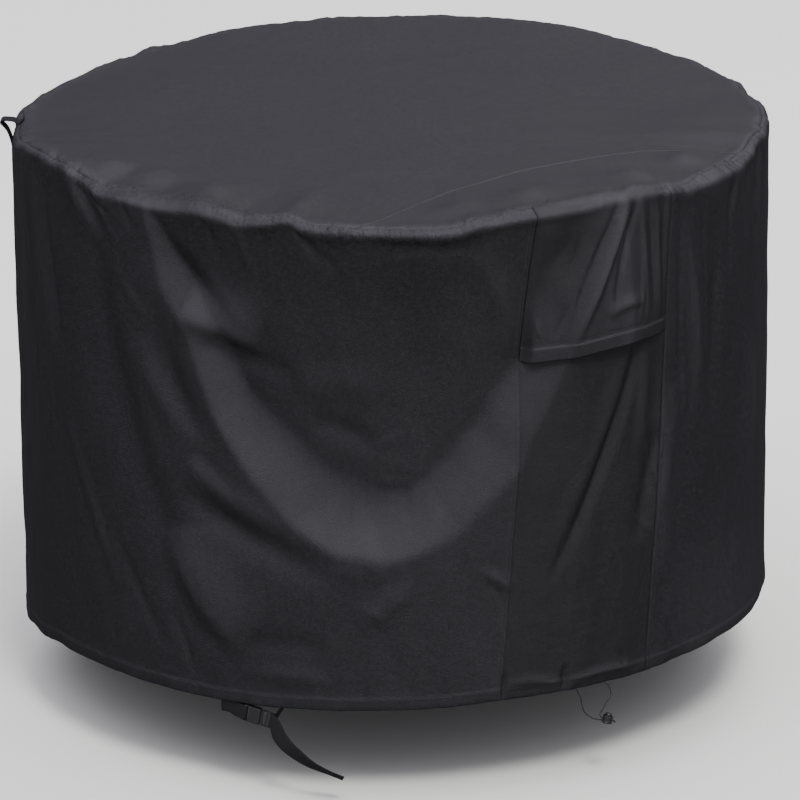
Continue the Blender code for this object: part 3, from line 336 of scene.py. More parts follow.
BROAD_PUCKER_HEIGHT = 0.0040
TIGHT_PUCKER_HEIGHT = 0.0014
# How much lighter the rim, the swag's ledge and the fold crests are: partly wear, partly a painted
# highlight where they face the light.
RIM_WEAR_AND_HIGHLIGHT = 0.85
LEDGE_WEAR_AND_HIGHLIGHT = 0.40
FOLD_WEAR_AND_HIGHLIGHT = 26
FOLD_WEAR_AND_HIGHLIGHT_UP_TO = 0.012

Swell = namedtuple("Swell", "azimuth radius reach height")
TOP_SWELLS = [
    Swell(-53, 0.575, 0.030, 0.009),
    Swell(-46, 0.535, 0.050, 0.017),
    Swell(-40, 0.575, 0.024, -0.004),
    Swell(-33, 0.545, 0.045, 0.014),
    Swell(-24, 0.500, 0.050, -0.003),
    Swell(10, 0.555, 0.036, 0.009),
    Swell(24, 0.548, 0.040, 0.012),
    Swell(35, 0.530, 0.032, -0.003),
    Swell(46, 0.555, 0.036, 0.012),
    Swell(60, 0.560, 0.036, 0.013),
    Swell(78, 0.520, 0.090, 0.005),
    Swell(100, 0.400, 0.120, -0.004),
    Swell(-110, 0.450, 0.140, 0.003),
    Swell(170, 0.420, 0.150, -0.003),
]


def smooth(x):
    x = np.clip(x, 0.0, 1.0)
    return x * x * (3 - 2 * x)


def round_table(rows, column, azimuth):
    """A table's column all the way round the cover, eased from row to row."""
    angles = np.array([row.azimuth for row in rows], float)
    values = np.array([getattr(row, column) for row in rows], float)
    at = (np.asarray(azimuth, float) - angles[0]) % 360
    knots = np.append(angles - angles[0], 360)
    values = np.append(values, values[0])
    cell = np.clip(np.searchsorted(knots, at, side="right") - 1, 0, len(rows) - 1)
    share = smooth((at - knots[cell]) / (knots[cell + 1] - knots[cell]))
    return values[cell] * (1 - share) + values[cell + 1] * share


def unrolled(azimuth, fall):
    """Places on the side laid flat."""
    return np.stack([np.radians(azimuth) * COVER_RADIUS, np.asarray(fall, float)], -1)


def along_path(points, path):
    """Distance from a polyline, positive on its left, and the share of the way along it."""
    best = np.full(len(points), np.inf)
    side = np.zeros(len(points))
    share = np.zeros(len(points))
    legs = len(path) - 1
    for i in range(legs):
        step = path[i + 1] - path[i]
        offset = points - path[i]
        t = np.clip(offset @ step / (step @ step), 0, 1)
        gap = offset - t[:, None] * step
        distance = np.hypot(gap[:, 0], gap[:, 1])
        nearer = distance < best
        best = np.where(nearer, distance, best)
        turn = step[1] * offset[:, 0] - step[0] * offset[:, 1]
        side = np.where(nearer, np.sign(turn), side)
        share = np.where(nearer, (i + t) / legs, share)
    return best * side, share


def fold_relief(points, fold):
    """How far a fold stands out, fading at both its ends and to both its sides."""
    relief = np.zeros(len(points))
    t = np.linspace(0, 1, 21)[:, None]
    start, middle, end = (unrolled(*corner) for corner in (fold.start, fold.middle, fold.end))
    path = start * 2 * (t - 0.5) * (t - 1) - middle * 4 * t * (t - 1) + end * 2 * t * (t - 0.5)
    reach = 3 * max(fold.above, fold.below)
    near = np.all((points > path.min(0) - reach) & (points < path.max(0) + reach), axis=1)
    distance, share = along_path(points[near], path)
    width = np.where(distance > 0, fold.above, fold.below)
    taper = np.sin(np.pi * share) ** 0.7
    relief[near] = fold.height * taper * np.exp(-((distance / width) ** 2))
    return relief


def rumple(u, v, cells, seed):
    """Soft unevenness between -1 and 1, one lump a unit, that meets itself after cells units."""
    lattice = np.random.default_rng(seed).uniform(-1, 1, (cells, 256))
    column, row = np.floor(u).astype(int), np.floor(v).astype(int)
    across, down = smooth(u - column), smooth(v - row)
    corner = [lattice[(column + i) % cells, (row + j) % 256] for i in (0, 1) for j in (0, 1)]
    left = corner[0] * (1 - down) + corner[1] * down
    right = corner[2] * (1 - down) + corner[3] * down
    return left * (1 - across) + right * across


def swag_ledge(points, widened=0.0):
    """How far each point is across the swag's ledge: 0 at its outer edge, 1 where it ends."""
    knots = np.arange(len(SWAG))
    fine = np.linspace(0, len(SWAG) - 1, 4 * len(SWAG))
    azimuth = np.interp(fine, knots, [row.azimuth for row in SWAG])
    fall = np.interp(fine, knots, [row.fall for row in SWAG])
    distance, share = along_path(points, unrolled(azimuth, fall))
    at = share * (len(SWAG) - 1)
    wander = rumple(points[:, 0] / 0.05 + 60, points[:, 1] / 0.07 + 20, 256, 7)
    distance = distance + SWAG_WANDER * wander
    width = np.interp(at, knots, [row.width for row in SWAG])
    steepness = np.interp(at, knots, [row.steepness for row in SWAG])
    return np.clip(distance / (width + widened), 0, 1), steepness


def swag_relief(points, widened=0.0):
    """How far the side falls back inside the swag."""
    across, steepness = swag_ledge(points, widened)
    across = across**2 * (1 + SWAG_EDGE_SOFTNESS) / (across + SWAG_EDGE_SOFTNESS)
    hollow = SWAG_DEPTH * (1 - np.exp(-np.maximum(points[:, 1], 0) / SWAG_SPREAD))
    return -hollow * (1 - (1 - across) ** steepness)


def side_relief(azimuth, fall):
    turned = (azimuth + 180) % 360 - 180
    points = unrolled(turned, fall)
    relief = swag_relief(points)
    for fold in FOLDS:
        relief = relief + fold_relief(points, fold)
    behind = smooth((np.abs(turned) - BACK_FOLD_FROM) / (BACK_FOLD_FULL - BACK_FOLD_FROM))
    turn = np.radians(azimuth)
    wave = np.sin(BACK_FOLD_COUNT * turn + BACK_FOLD_SWING * np.sin(2 * turn))
    relief = relief + BACK_FOLD_HEIGHT * behind * smooth(fall / 0.5) * wave
    soft = rumple(azimuth / 4, fall / 0.11, 90, 3)
    soft = soft + 0.5 * rumple(azimuth / 2, fall / 0.05, 180, 4)
    return relief + SIDE_UNEVENNESS * soft


def rim_relief(azimuth, run, lean):
    """The crest below the rim seam, and the gathers that the seam draws into both its sides."""
    crest = CREST_HEIGHT * (0.75 + 0.35 * rumple(azimuth / 6, run * 0, 60, 10))
    relief = crest * np.exp(-(((lean - 1.02) / 0.25) ** 2))
    strength = 0.55 + 0.45 * rumple(azimuth / 9, run * 0, 40, 11)
    past = run - seam_run(azimuth)
    on_turn = np.exp(-((past / np.where(past > 0, 0.030, 0.014)) ** 2))
    pleats = 0.5 - np.abs(rumple(azimuth / 1.5 + past / 0.028, run / 0.030, 240, 12))
    broad = rumple(azimuth / 3.6, run / 0.040, 100, 13)
    tight = np.exp(-((past / 0.010) ** 2)) * rumple(azimuth / 0.8, run / 0.02, 450, 14)
    puckers = PLEAT_HEIGHT * pleats + BROAD_PUCKER_HEIGHT * broad
    return relief + strength * on_turn * puckers + TIGHT_PUCKER_HEIGHT * tight


def top_relief(azimuth, radius):
    turn = np.radians(azimuth)
    relief = np.zeros(len(turn))
    for swell in TOP_SWELLS:
        middle = math.radians(swell.azimuth)
        dx = radius * np.sin(turn) - swell.radius * math.sin(middle)
        dy = radius * np.cos(turn) - swell.radius * math.cos(middle)
        relief += swell.height * np.exp(-(dx * dx + dy * dy) / swell.reach**2)
    x, y = radius * np.sin(turn) + 2, 2 - radius * np.cos(turn)
    soft = rumple(x / 0.09, y / 0.07, 256, 5) + 0.4 * rumple(x / 0.035, y / 0.03, 256, 6)
    return relief + TOP_UNEVENNESS * soft * smooth(radius / 0.2)


def cover_points(azimuth, run, depth):
    """Places on the cover's face, less a depth, each in a row of its own."""
    azimuth, run, depth = (np.asarray(a, float).ravel() for a in (azimuth, run, depth))
    lift = round_table(RIM, "lift", azimuth)
    rounding = round_table(RIM, "rounding", azimuth)
    flat_end = COVER_RADIUS - rounding
    lean = np.clip((run - flat_end) / rounding, 0, math.pi / 2)
    straight = np.maximum(run - flat_end - rounding * math.pi / 2, 0)
    radius = np.minimum(run, flat_end) + rounding * np.sin(lean)
    fall = rounding * (1 - np.cos(lean)) + straight
    side = smooth(lean / (math.pi / 2))
    out = side * side_relief(azimuth, fall) + (1 - side) * top_relief(azimuth, radius) - depth
    out = out + rim_relief(azimuth, run, lean)
    lifted = lift * smooth((radius - 0.40) / 0.20) * (1 - smooth(fall / 0.30))
    radius = radius + out * np.sin(lean)
    turn = np.radians(azimuth)
    height = CLOTH - fall + lifted + out * np.cos(lean)
    return np.stack([radius * np.sin(turn), -radius * np.cos(turn), height], -1)


def run_at_fall(azimuth, fall):
    rounding = round_table(RIM, "rounding", azimuth)
    return COVER_RADIUS - 2 * rounding + rounding * math.pi / 2 + fall


def seam_run(azimuth):
    return COVER_RADIUS - round_table(RIM, "inset", azimuth)


def open_groove(distance):
    """The deeper groove that a flat seam leaves between two lying pieces."""
    return 0.0016 * np.exp(-((distance / 0.0024) ** 2))


def seam_sink(distance):
    """How far the cloth dips at a sewn seam. Past it, its allowance lies under its neighbour."""
    dip = 0.0005 * np.exp(-((distance / 0.0020) ** 2))
    swell = 0.0004 * np.exp(-(((distance - 0.0055) / 0.0040) ** 2))
    under = 0.0011 * smooth(-distance / 0.0010)
    return dip - np.where(distance > 0, swell, 0) + under


def gathered(azimuth, run):
    """How strongly the rim seam gathers the cloth, from 0 to 1."""
    near = np.exp(-(((run - seam_run(azimuth) - 0.006) / 0.022) ** 2))
    return np.clip(near * (0.75 + 0.5 * rumple(azimuth / 7, run * 0, 52, 31)), 0, 1)


def wear_and_highlight(azimuth, run):
    """How much lighter the cloth is, from 0 to 1: wear and a painted highlight on the rim, swag
    and fold crests.
    """
    azimuth, run = azimuth.ravel(), run.ravel()
    rounding = round_table(RIM, "rounding", azimuth)
    lean = (run - COVER_RADIUS + rounding) / rounding
    turned = (azimuth + 180) % 360 - 180
    fall = run - COVER_RADIUS + (2 - math.pi / 2) * rounding
    points = unrolled(turned, fall)
    rim_patchiness = 0.65 + 0.5 * rumple(azimuth / 3, run / 0.020, 120, 32)
    rim = RIM_WEAR_AND_HIGHLIGHT * np.exp(-(((lean - 0.55) / 0.50) ** 2)) * rim_patchiness
    across, _ = swag_ledge(points)
    ledge = LEDGE_WEAR_AND_HIGHLIGHT * np.sin(np.pi * across) ** 0.6
    folds = sum(fold_relief(points, fold) for fold in FOLDS if fold.height > 0)
    return np.clip(rim + ledge + FOLD_WEAR_AND_HIGHLIGHT * np.minimum(folds, FOLD_WEAR_AND_HIGHLIGHT_UP_TO), 0, 1)


def cloth_sheet(name, points, flat, material, thickness, marks=()):
    """A sheet over a grid of points, with a cloth map in metres along its own threads."""
    columns, rows = points.shape[0], points.shape[1]
    index = np.arange(columns * rows).reshape(columns, rows)
    corners = (index[:-1, :-1], index[:-1, 1:], index[1:, 1:], index[1:, :-1])
    faces = np.stack(corners, -1).reshape(-1, 4)
    data = bpy.data.meshes.new(name)
    data.from_pydata(points.reshape(-1, 3).tolist(), [], faces.tolist())
    threads = data.uv_layers.new(name="threads")
    threads.data.foreach_set("uv", flat.reshape(-1, 2)[faces.ravel()].astype(np.float32).ravel())
    for mark, values in marks:
        layer = data.attributes.new(mark, "FLOAT", "POINT")
        layer.data.foreach_set("value", values.astype(np.float32).ravel())
    made = bpy.data.objects.new(name, data)
    bpy.context.scene.collection.objects.link(made)
    whole = bmesh.new()
    whole.from_mesh(data)
    bmesh.ops.remove_doubles(whole, verts=whole.verts[:], dist=1e-6)
    whole.to_mesh(data)
    whole.free()
    data.shade_smooth()
    data.materials.append(material)
    cloth_body = made.modifiers.new("cloth", "SOLIDIFY")
    cloth_body.thickness = thickness
    cloth_body.offset = -1
    return made


def cloth_marks(azimuth, run):
    return (("wear_and_highlight", wear_and_highlight(azimuth, run)), ("gathered", gathered(azimuth, run)))


def coated_cloth(name, colour, dust, worn_and_highlit, grain_turn=0.0):
    """Black coated polyester: plain weave, fine grain, creases, a little dust, worn folds with
    painted highlights.
    """
    material = bpy.data.materials.new(name)
    material.use_nodes = True
    nodes, links = material.node_tree.nodes, material.node_tree.links
    shader = nodes["Principled BSDF"]
    threads = nodes.new("ShaderNodeUVMap")
    threads.uv_map = "threads"
    turned = nodes.new("ShaderNodeMapping")
    turned.inputs["Rotation"].default_value = (0, 0, grain_turn)
    links.new(threads.outputs["UV"], turned.inputs["Vector"])

    def noise(scale, detail, stretch=(1, 1, 1)):
        texture = nodes.new("ShaderNodeTexNoise")
        texture.inputs["Scale"].default_value = scale
        texture.inputs["Detail"].default_value = detail
        reach = nodes.new("ShaderNodeMapping")
        reach.inputs["Scale"].default_value = stretch
        links.new(turned.outputs["Vector"], reach.inputs["Vector"])
        links.new(reach.outputs["Vector"], texture.inputs["Vector"])
        return texture.outputs["Fac"]

    def yarns(direction):
        wave = nodes.new("ShaderNodeTexWave")
        wave.bands_direction = direction
        wave.inputs["Scale"].default_value = 300
        wave.inputs["Distortion"].default_value = 0.6
        links.new(turned.outputs["Vector"], wave.inputs["Vector"])
        return wave.outputs["Fac"]

    def mark(name):
        attribute = nodes.new("ShaderNodeAttribute")
        attribute.attribute_name = name
        return attribute.outputs["Fac"]

    def mixed(kind, *terms):
        node = nodes.new("ShaderNodeMath")
        node.operation = kind
        for term, socket in zip(terms, node.inputs):
            if hasattr(term, "is_output"):
                links.new(term, socket)
            else:
                socket.default_value = term
        return node.outputs[0]

    def toward(base, goal, share):
        node = nodes.new("ShaderNodeMix")
        node.data_type = "RGBA"
        node.inputs["B"].default_value = (*goal, 1)
        links.new(base, node.inputs["A"])
        links.new(share, node.inputs["Factor"])
        return node.outputs["Result"]

    def bumped(height, strength, distance, under=None):
        node = nodes.new("ShaderNodeBump")
        node.inputs["Strength"].default_value = strength
        node.inputs["Distance"].default_value = distance
        links.new(height, node.inputs["Height"])
        if under:
            links.new(under, node.inputs["Normal"])
        return node.outputs["Normal"]

    weave = mixed("MULTIPLY", yarns("X"), yarns("Y"))
    grain = noise(330, 1)
    mottle = noise(110, 4)
    blotch = noise(5, 3)
    shade = nodes.new("ShaderNodeValToRGB")
    for stop, position, strength in zip(shade.color_ramp.elements, (0.40, 0.62), (0.50, 1.70)):
        stop.position = position
        stop.color = (*[c * strength for c in colour], 1)
    blend = mixed("ADD", mixed("MULTIPLY", grain, 0.55), mixed("MULTIPLY", mottle, 0.45))
    links.new(blend, shade.inputs["Fac"])
    settled = mixed("MULTIPLY", mixed("POWER", blotch, 2), 0.45)
    dusty = toward(shade.outputs["Color"], dust, settled)
    patchy = mixed("ADD", mixed("MULTIPLY", noise(60, 4), 0.9), 0.55)
    # Lighter where the cloth is worn and where a highlight is painted on the rim, the swag and the
    # fold crests.
    worn_and_highlit_cloth = toward(dusty, worn_and_highlit, mixed("MULTIPLY", mark("wear_and_highlight"), patchy))
    links.new(worn_and_highlit_cloth, shader.inputs["Base Color"])
    rough = nodes.new("ShaderNodeMapRange")
    rough.inputs["To Min"].default_value = 0.42
    rough.inputs["To Max"].default_value = 0.56
    links.new(mottle, rough.inputs["Value"])
    links.new(rough.outputs["Result"], shader.inputs["Roughness"])
    shader.inputs["Specular IOR Level"].default_value = 0.42
    gathers = mixed("MULTIPLY", noise(70, 3, (1, 0.45, 1)), mark("gathered"))
    gathered_normal = bumped(gathers, 1.0, 0.008)
    creased = bumped(noise(34, 5, (1, 0.6, 1)), 0.5, 0.0022, gathered_normal)
    woven = bumped(mixed("MULTIPLY_ADD", grain, 2.0, weave), 0.8, 0.0004, creased)
    links.new(woven, shader.inputs["Normal"])
    return material


RIM_ROWS = (0, 0.0012, 0.003, 0.006, *np.arange(0.009, 0.056, 0.0031))
HEM_ROWS = (0.0225, 0.0205, 0.017, 0.010, 0.004, 0.001, 0)


def side_runs(azimuth, step):
    """Runs from the rim seam to the hem at each azimuth, closer together round the rim."""
    start = seam_run(azimuth) + SEAM_EASE
    hem = run_at_fall(azimuth, round_table(HEM, "fall", azimuth))
    count = round((0.83 - 0.085) / step)
    share = (np.arange(count) + 1) / count
    rows = [start + down for down in RIM_ROWS]
    low = start + RIM_ROWS[-1]
    rows += [low + (hem - 0.026 - low) * each for each in share]
    rows += [hem - up for up in HEM_ROWS]
    return np.stack(rows, -1)


def side_grid(first, last, nominal, reaches, step):
    """Azimuth and run between two leaning seams, whose columns lean within their reaches."""
    azimuth = np.broadcast_to(nominal[:, None], side_runs(nominal, step).shape)
    for _ in range(3):
        columns = range(azimuth.shape[1])
        run = np.stack([side_runs(azimuth[:, j], step)[:, j] for j in columns], -1)
        share = np.clip((run - COVER_RADIUS) / SIDE_RUN, 0, 1)
        near_first = np.clip(1 - (nominal - nominal[0]) / reaches[0], 0, 1)[:, None]
        near_last = np.clip(1 - (nominal[-1] - nominal) / reaches[1], 0, 1)[:, None]
        azimuth = nominal[:, None] + share * (
            (first[1] - first[0]) * near_first + (last[1] - last[0]) * near_last
        )
    return azimuth, run


def seam_azimuth(seam, run):
    return seam[0] + (seam[1] - seam[0]) * np.clip((run - COVER_RADIUS) / SIDE_RUN, 0, 1)


SEAM_EDGE = (0.0002,)
TUCKED_EDGE = (-0.0060, -0.0030, -0.0010, 0.0002)
BACK_FROM = 90
BACK_TO = 275


def edged_columns(low, high, step, back_step, edge):
    """Azimuths between two seams: crowded at the seams, and with a step of its own behind."""
    edge = np.array([*edge, 0.0014, 0.0032, 0.006, 0.009]) * DEGREES_A_METRE
    inner = [low + edge[-1]]
    while inner[-1] < high - edge[-1] - step * DEGREES_A_METRE:
        at = inner[-1]
        behind = smooth((at - BACK_FROM) / 12) * smooth((BACK_TO - at) / 12)
        inner.append(at + (step + (back_step - step) * behind) * DEGREES_A_METRE)
    return np.concatenate([low + edge[:-1], inner, high - edge[::-1]])


def side_stand(azimuth, run, first, last):
    """Depth under the plain cloth face: dips at the seams, and a fuller hem with a turned edge."""
    depth = seam_sink((azimuth - seam_azimuth(first, run)) * METRES_A_DEGREE)
    depth = depth + seam_sink((seam_azimuth(last, run) - azimuth) * METRES_A_DEGREE)
    depth = depth + seam_sink(run - run[:, :1])
    up = run[:, -1:] - run
    hem = smooth((HEM_DEPTH + 0.001 - up) / 0.002)
    depth = depth - HEM_FULLNESS * hem + HEM_EDGE_TURN * np.exp(-((up / 0.0012) ** 2))
    along = rumple(azimuth / 1.2, up / 0.02, 300, 21)
    return depth - HEM_WAVE * along * smooth((0.05 - up) / 0.03)


def hung_sheet(name, azimuth, run, depth, material, thickness, marks):
    """A piece of the side, whose threads run along the hem and up and down."""
    points = cover_points(azimuth, run, depth).reshape(*run.shape, 3)
    flat = np.stack([np.radians(azimuth) * COVER_RADIUS, -run], -1)
    return cloth_sheet(name, points, flat, material, thickness, marks)


# The third colour is that of worn cloth and of the painted highlights on the rim, swag and folds.
black_cloth = coated_cloth(
    "black_cloth", (0.0070, 0.0068, 0.0085), (0.013, 0.0127, 0.014), (0.026, 0.0255, 0.029)
)
skirt_seams = VENT_RIGHT, (VENT_LEFT[0] + 360, VENT_LEFT[1] + 360)
skirt_nominal = edged_columns(skirt_seams[0][0], skirt_seams[1][0], 0.0053, 0.024, SEAM_EDGE)
skirt_azimuth, skirt_run = side_grid(*skirt_seams, skirt_nominal, (30, 60), 0.0086)
skirt = hung_sheet(
    "skirt",
    skirt_azimuth,
    skirt_run,
    side_stand(skirt_azimuth, skirt_run, *skirt_seams),
    black_cloth,
    SHEET_THICKNESS,
    cloth_marks(skirt_azimuth, skirt_run),
)
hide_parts("skirt_panel")
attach(skirt, "cover")

# ---- Vent panel
# The narrow piece between the two upright seams, of the same coated polyester. It is cut across
# the cloth, and its colour is darker than the skirt's. The vent's mouth is behind the flap.

ACROSS_THE_CLOTH = 1.5708
vent_cloth = coated_cloth(
    "vent_cloth",
    (0.0045, 0.0044, 0.0056),
    (0.009, 0.0088, 0.010),
    (0.022, 0.0216, 0.0245),
    ACROSS_THE_CLOTH,
)
vent_nominal = edged_columns(VENT_LEFT[0], VENT_RIGHT[0], 0.0045, 0.0045, TUCKED_EDGE)
vent_reach = VENT_RIGHT[0] - VENT_LEFT[0]
vent_azimuth, vent_run = side_grid(
    VENT_LEFT, VENT_RIGHT, vent_nominal, (vent_reach, vent_reach), 0.0065
)
vent = hung_sheet(
    "vent",
    vent_azimuth,
    vent_run,
    side_stand(vent_azimuth, vent_run, VENT_LEFT, VENT_RIGHT),
    vent_cloth,
    SHEET_THICKNESS,
    cloth_marks(vent_azimuth, vent_run),
)
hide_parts("vent_panel")
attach(vent, "cover")

# ---- Vent flap
# A short gathered piece sewn into the rim seam and down both sides over the vent panel. Its
# lower edge is a doubled band, free, and stands away from the panel on the right.

FLAP_LENGTH = 0.223
FLAP_SLANT = 0.018
FLAP_STAND = 0.016
FLAP_STAND_FROM = 0.205
FLAP_FULLNESS = 0.004
SWAG_WIDENED_UNDER_FLAP = 0.050
FLAP_BAND = 0.0235
FLAP_FACE = 0.0018
FLAP_SEWN_DOWN = 0.0015
BAND_TURNED_IN = 0.0030
BAND_FULLNESS = 0.0014
BAND_EDGE_TURN = 0.0012
BAND_LINE_DEPTH = 0.0010
# How much lighter the flap's gather crests and band are: partly wear, partly a painted highlight.
FLAP_FOLD_WEAR_AND_HIGHLIGHT = 40
BAND_WEAR_AND_HIGHLIGHT = 0.2
FALL_AT_RADIUS = 0.012
FLAP_FOLDS = [
    Fold((26.4, 0.226), (31.8, 0.110), (37.0, 0.004), 0.009, 0.007, 0.010),
    Fold((25.0, 0.226), (29.8, 0.110), (34.8, 0.010), 0.005, 0.005, -0.004),
    Fold((33.2, 0.170), (34.8, 0.100), (38.4, 0.006), 0.005, 0.004, -0.006),
    Fold((32.0, 0.186), (35.0, 0.172), (38.0, 0.176), 0.012, 0.006, 0.006),
    Fold((38.6, 0.205), (38.8, 0.110), (38.8, 0.006), 0.005, 0.005, 0.004),
    Fold((40.0, 0.205), (40.2, 0.110), (40.2, 0.006), 0.004, 0.004, -0.003),
    Fold((41.2, 0.205), (41.5, 0.110), (41.6, 0.006), 0.005, 0.005, 0.004),
    Fold((42.4, 0.205), (42.7, 0.110), (43.0, 0.006), 0.004, 0.004, -0.003),
    Fold((43.2, 0.205), (43.8, 0.110), (44.0, 0.006), 0.003, 0.003, 0.002),
    Fold((37.2, 0.205), (38.0, 0.150), (38.2, 0.100), 0.003, 0.003, 0.003),
    Fold((25.2, 0.216), (26.3, 0.188), (27.6, 0.150), 0.004, 0.004, 0.003),
    Fold((24.0, 0.214), (25.0, 0.190), (26.4, 0.160), 0.003, 0.004, -0.003),
    Fold((23.4, 0.214), (23.6, 0.196), (24.0, 0.180), 0.003, 0.003, 0.0015),
    Fold((22.0, 0.212), (21.9, 0.196), (22.0, 0.182), 0.003, 0.003, 0.0015),
    Fold((26.5, 0.130), (28.0, 0.080), (29.0, 0.030), 0.008, 0.008, -0.002),
]
FLAP_BAND_ROWS = (0.0245, 0.0230, 0.0215, 0.0200, 0.0160, 0.0100, 0.0045, 0.0025, 0.0012, 0)

flap_nominal = edged_columns(VENT_LEFT[0], VENT_RIGHT[0], 0.0030, 0.0030, SEAM_EDGE)
flap_top = seam_run(flap_nominal)[:, None] + SEAM_EASE
flap_reach = np.clip((flap_nominal - flap_nominal[0]) / vent_reach, 0, 1)[:, None]
flap_edge = COVER_RADIUS + FLAP_LENGTH + FLAP_SLANT * (1 - flap_reach) ** 2
flap_middle = np.linspace(0, 1, 42)[1:-1]
flap_run = np.concatenate(
    [
        flap_top + RIM_ROWS,
        flap_top + 0.0555 + (flap_edge - 0.0260 - flap_top - 0.0555) * flap_middle,
        flap_edge - FLAP_BAND_ROWS,
    ],
    axis=1,
)
flap_share = np.clip((flap_run - COVER_RADIUS) / SIDE_RUN, 0, 1)
flap_lean = (VENT_LEFT[1] - VENT_LEFT[0]) * (1 - flap_reach)
flap_lean = flap_lean + (VENT_RIGHT[1] - VENT_RIGHT[0]) * flap_reach
flap_azimuth = flap_nominal[:, None] + flap_share * flap_lean
flap_fall = np.maximum(flap_run - COVER_RADIUS + FALL_AT_RADIUS, 0.0)
flap_places = unrolled(flap_azimuth.ravel(), flap_fall.ravel())
flap_gathers = sum(fold_relief(flap_places, fold) for fold in FLAP_FOLDS)
flap_gathers = np.maximum(flap_gathers + FLAP_FULLNESS * smooth(flap_fall.ravel() / 0.05), 0)
flap_eased = swag_relief(flap_places, SWAG_WIDENED_UNDER_FLAP) - swag_relief(flap_places)
flap_across = (flap_azimuth - flap_azimuth[:1]) / (flap_azimuth[-1:] - flap_azimuth[:1])
flap_from_side = np.minimum(flap_across, 1 - flap_across)
flap_hung = np.sin(np.pi * flap_across**1.7) * smooth(flap_fall / FLAP_STAND_FROM) ** 1.5
flap_sewn = smooth(flap_from_side / 0.06)
flap_up = flap_run[:, -1:] - flap_run
flap_band = smooth((FLAP_BAND - flap_up) / 0.002)
flap_side = flap_from_side * math.radians(vent_reach) * COVER_RADIUS
flap_height = (
    FLAP_FACE
    - FLAP_SEWN_DOWN * np.exp(-((flap_side / 0.003) ** 2))
    - BAND_TURNED_IN * flap_sewn * smooth((FLAP_BAND - flap_up) / FLAP_BAND)
    + flap_sewn * (flap_gathers + flap_eased).reshape(flap_run.shape)
    + flap_sewn * FLAP_STAND * flap_hung
    + BAND_FULLNESS * flap_band
    - BAND_EDGE_TURN * np.exp(-((flap_up / 0.0012) ** 2))
    - BAND_LINE_DEPTH * np.exp(-(((flap_up - 0.0245) / 0.0014) ** 2))
)
flap_depth = seam_sink(flap_run - flap_run[:, :1]) - flap_height
# Lighter on the flap's crests, band and rim: partly wear, partly a painted highlight.
flap_wear_and_highlight = np.clip(
    FLAP_FOLD_WEAR_AND_HIGHLIGHT * np.maximum(flap_gathers - FLAP_FULLNESS, 0).reshape(flap_run.shape)
    + BAND_WEAR_AND_HIGHLIGHT * flap_band
    + wear_and_highlight(flap_azimuth, np.minimum(flap_run, COVER_RADIUS)).reshape(flap_run.shape),
    0,
    1,
)
flap = hung_sheet(
    "flap",
    flap_azimuth,
    flap_run,
    flap_depth,
    vent_cloth,
    0.0013,
    (("wear_and_highlight", flap_wear_and_highlight), ("gathered", gathered(flap_azimuth, flap_run))),
)
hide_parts("vent_flap")
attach(flap, "cover")

# ---- Top
# The round top, which lies nearly flat, and the smaller piece beyond the curved seam in front
# on the right. Both are the skirt's cloth, seen from above.

ChordPoint = namedtuple("ChordPoint", "x y")
CHORD_SEAM = [
    ChordPoint(-0.078, -0.640),
    ChordPoint(-0.024, -0.604),
    ChordPoint(0.020, -0.545),
    ChordPoint(0.063, -0.487),
    ChordPoint(0.138, -0.407),
    ChordPoint(0.213, -0.337),
    ChordPoint(0.348, -0.257),
    ChordPoint(0.441, -0.222),
    ChordPoint(0.500, -0.230),
    ChordPoint(0.566, -0.238),
    ChordPoint(0.596, -0.246),
]


def chord_radius(azimuth, offset):
    """The curved seam's distance from the middle of the top, or that of a line beside it."""
    path = np.array([(point.x, point.y) for point in CHORD_SEAM])
    fine = np.linspace(0, len(path) - 1, 65)
    knots = np.arange(len(path))
    path = np.stack([np.interp(fine, knots, path[:, k]) for k in (0, 1)], -1)
    for _ in range(6):
        path[1:-1] = (path[:-2] + 2 * path[1:-1] + path[2:]) / 4
    ahead = np.gradient(path, axis=0)
    normal = np.stack([ahead[:, 1], -ahead[:, 0]], -1)
    path = path + offset * normal / np.linalg.norm(normal, axis=1)[:, None]
    angles = np.degrees(np.arctan2(path[:, 0], -path[:, 1]))
    return np.interp(azimuth, angles, np.hypot(path[:, 0], path[:, 1]))


def laid_sheet(name, azimuth, run, depth):
    """A piece of the top, whose threads run left to right and front to back."""
    azimuth = np.broadcast_to(azimuth[:, None], run.shape)
    points = cover_points(azimuth, run, depth).reshape(*run.shape, 3)
    marks = cloth_marks(azimuth, run)
    return cloth_sheet(name, points, points[..., :2], black_cloth, SHEET_THICKNESS, marks)


# The curved seam is inside the rim seam from chord_start to chord_end.
search = np.linspace(-6.9, 67.5, 30001)
inside = search[chord_radius(search, 0) < seam_run(search) - SEAM_EASE]
chord_start, chord_end = inside[0], inside[-1]
front_half = np.linspace(chord_start, chord_end, 113)
back_half = np.linspace(chord_end, chord_start + 360, 321)
top_azimuth = np.concatenate([front_half, back_half[1:]])
at_chord = (top_azimuth > chord_start + 1e-3) & (top_azimuth < chord_end - 1e-3)
rim_edge = seam_run(top_azimuth) - SEAM_EASE
chord_edge = np.minimum(chord_radius(top_azimuth, -SEAM_EASE), rim_edge)
top_edge = np.where(at_chord, chord_edge, rim_edge)[:, None]

# Rows measured in from the edge. Those past it are tucked under the skirt, and not at the chord.
TUCKED_ROWS = (-0.006, -0.003, -0.001)
inward = np.array([*TUCKED_ROWS, 0, 0.0012, 0.003, 0.006, *np.arange(0.009, 0.06, 0.003)])
tucked = np.where(at_chord, 0, 1)[:, None]
inner_share = np.linspace(0, 1, 54) ** 0.9
top_run = np.concatenate(
    [
        (top_edge - 0.062) * inner_share,
        top_edge - np.where(inward < 0, inward * tucked - 0.0001, inward)[:, ::-1],
    ],
    axis=1,
)
top_depth = seam_sink(top_edge - top_run) + at_chord[:, None] * open_groove(top_edge - top_run)
top = laid_sheet("top", top_azimuth, top_run, top_depth)
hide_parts("top_panel")
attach(top, "cover")

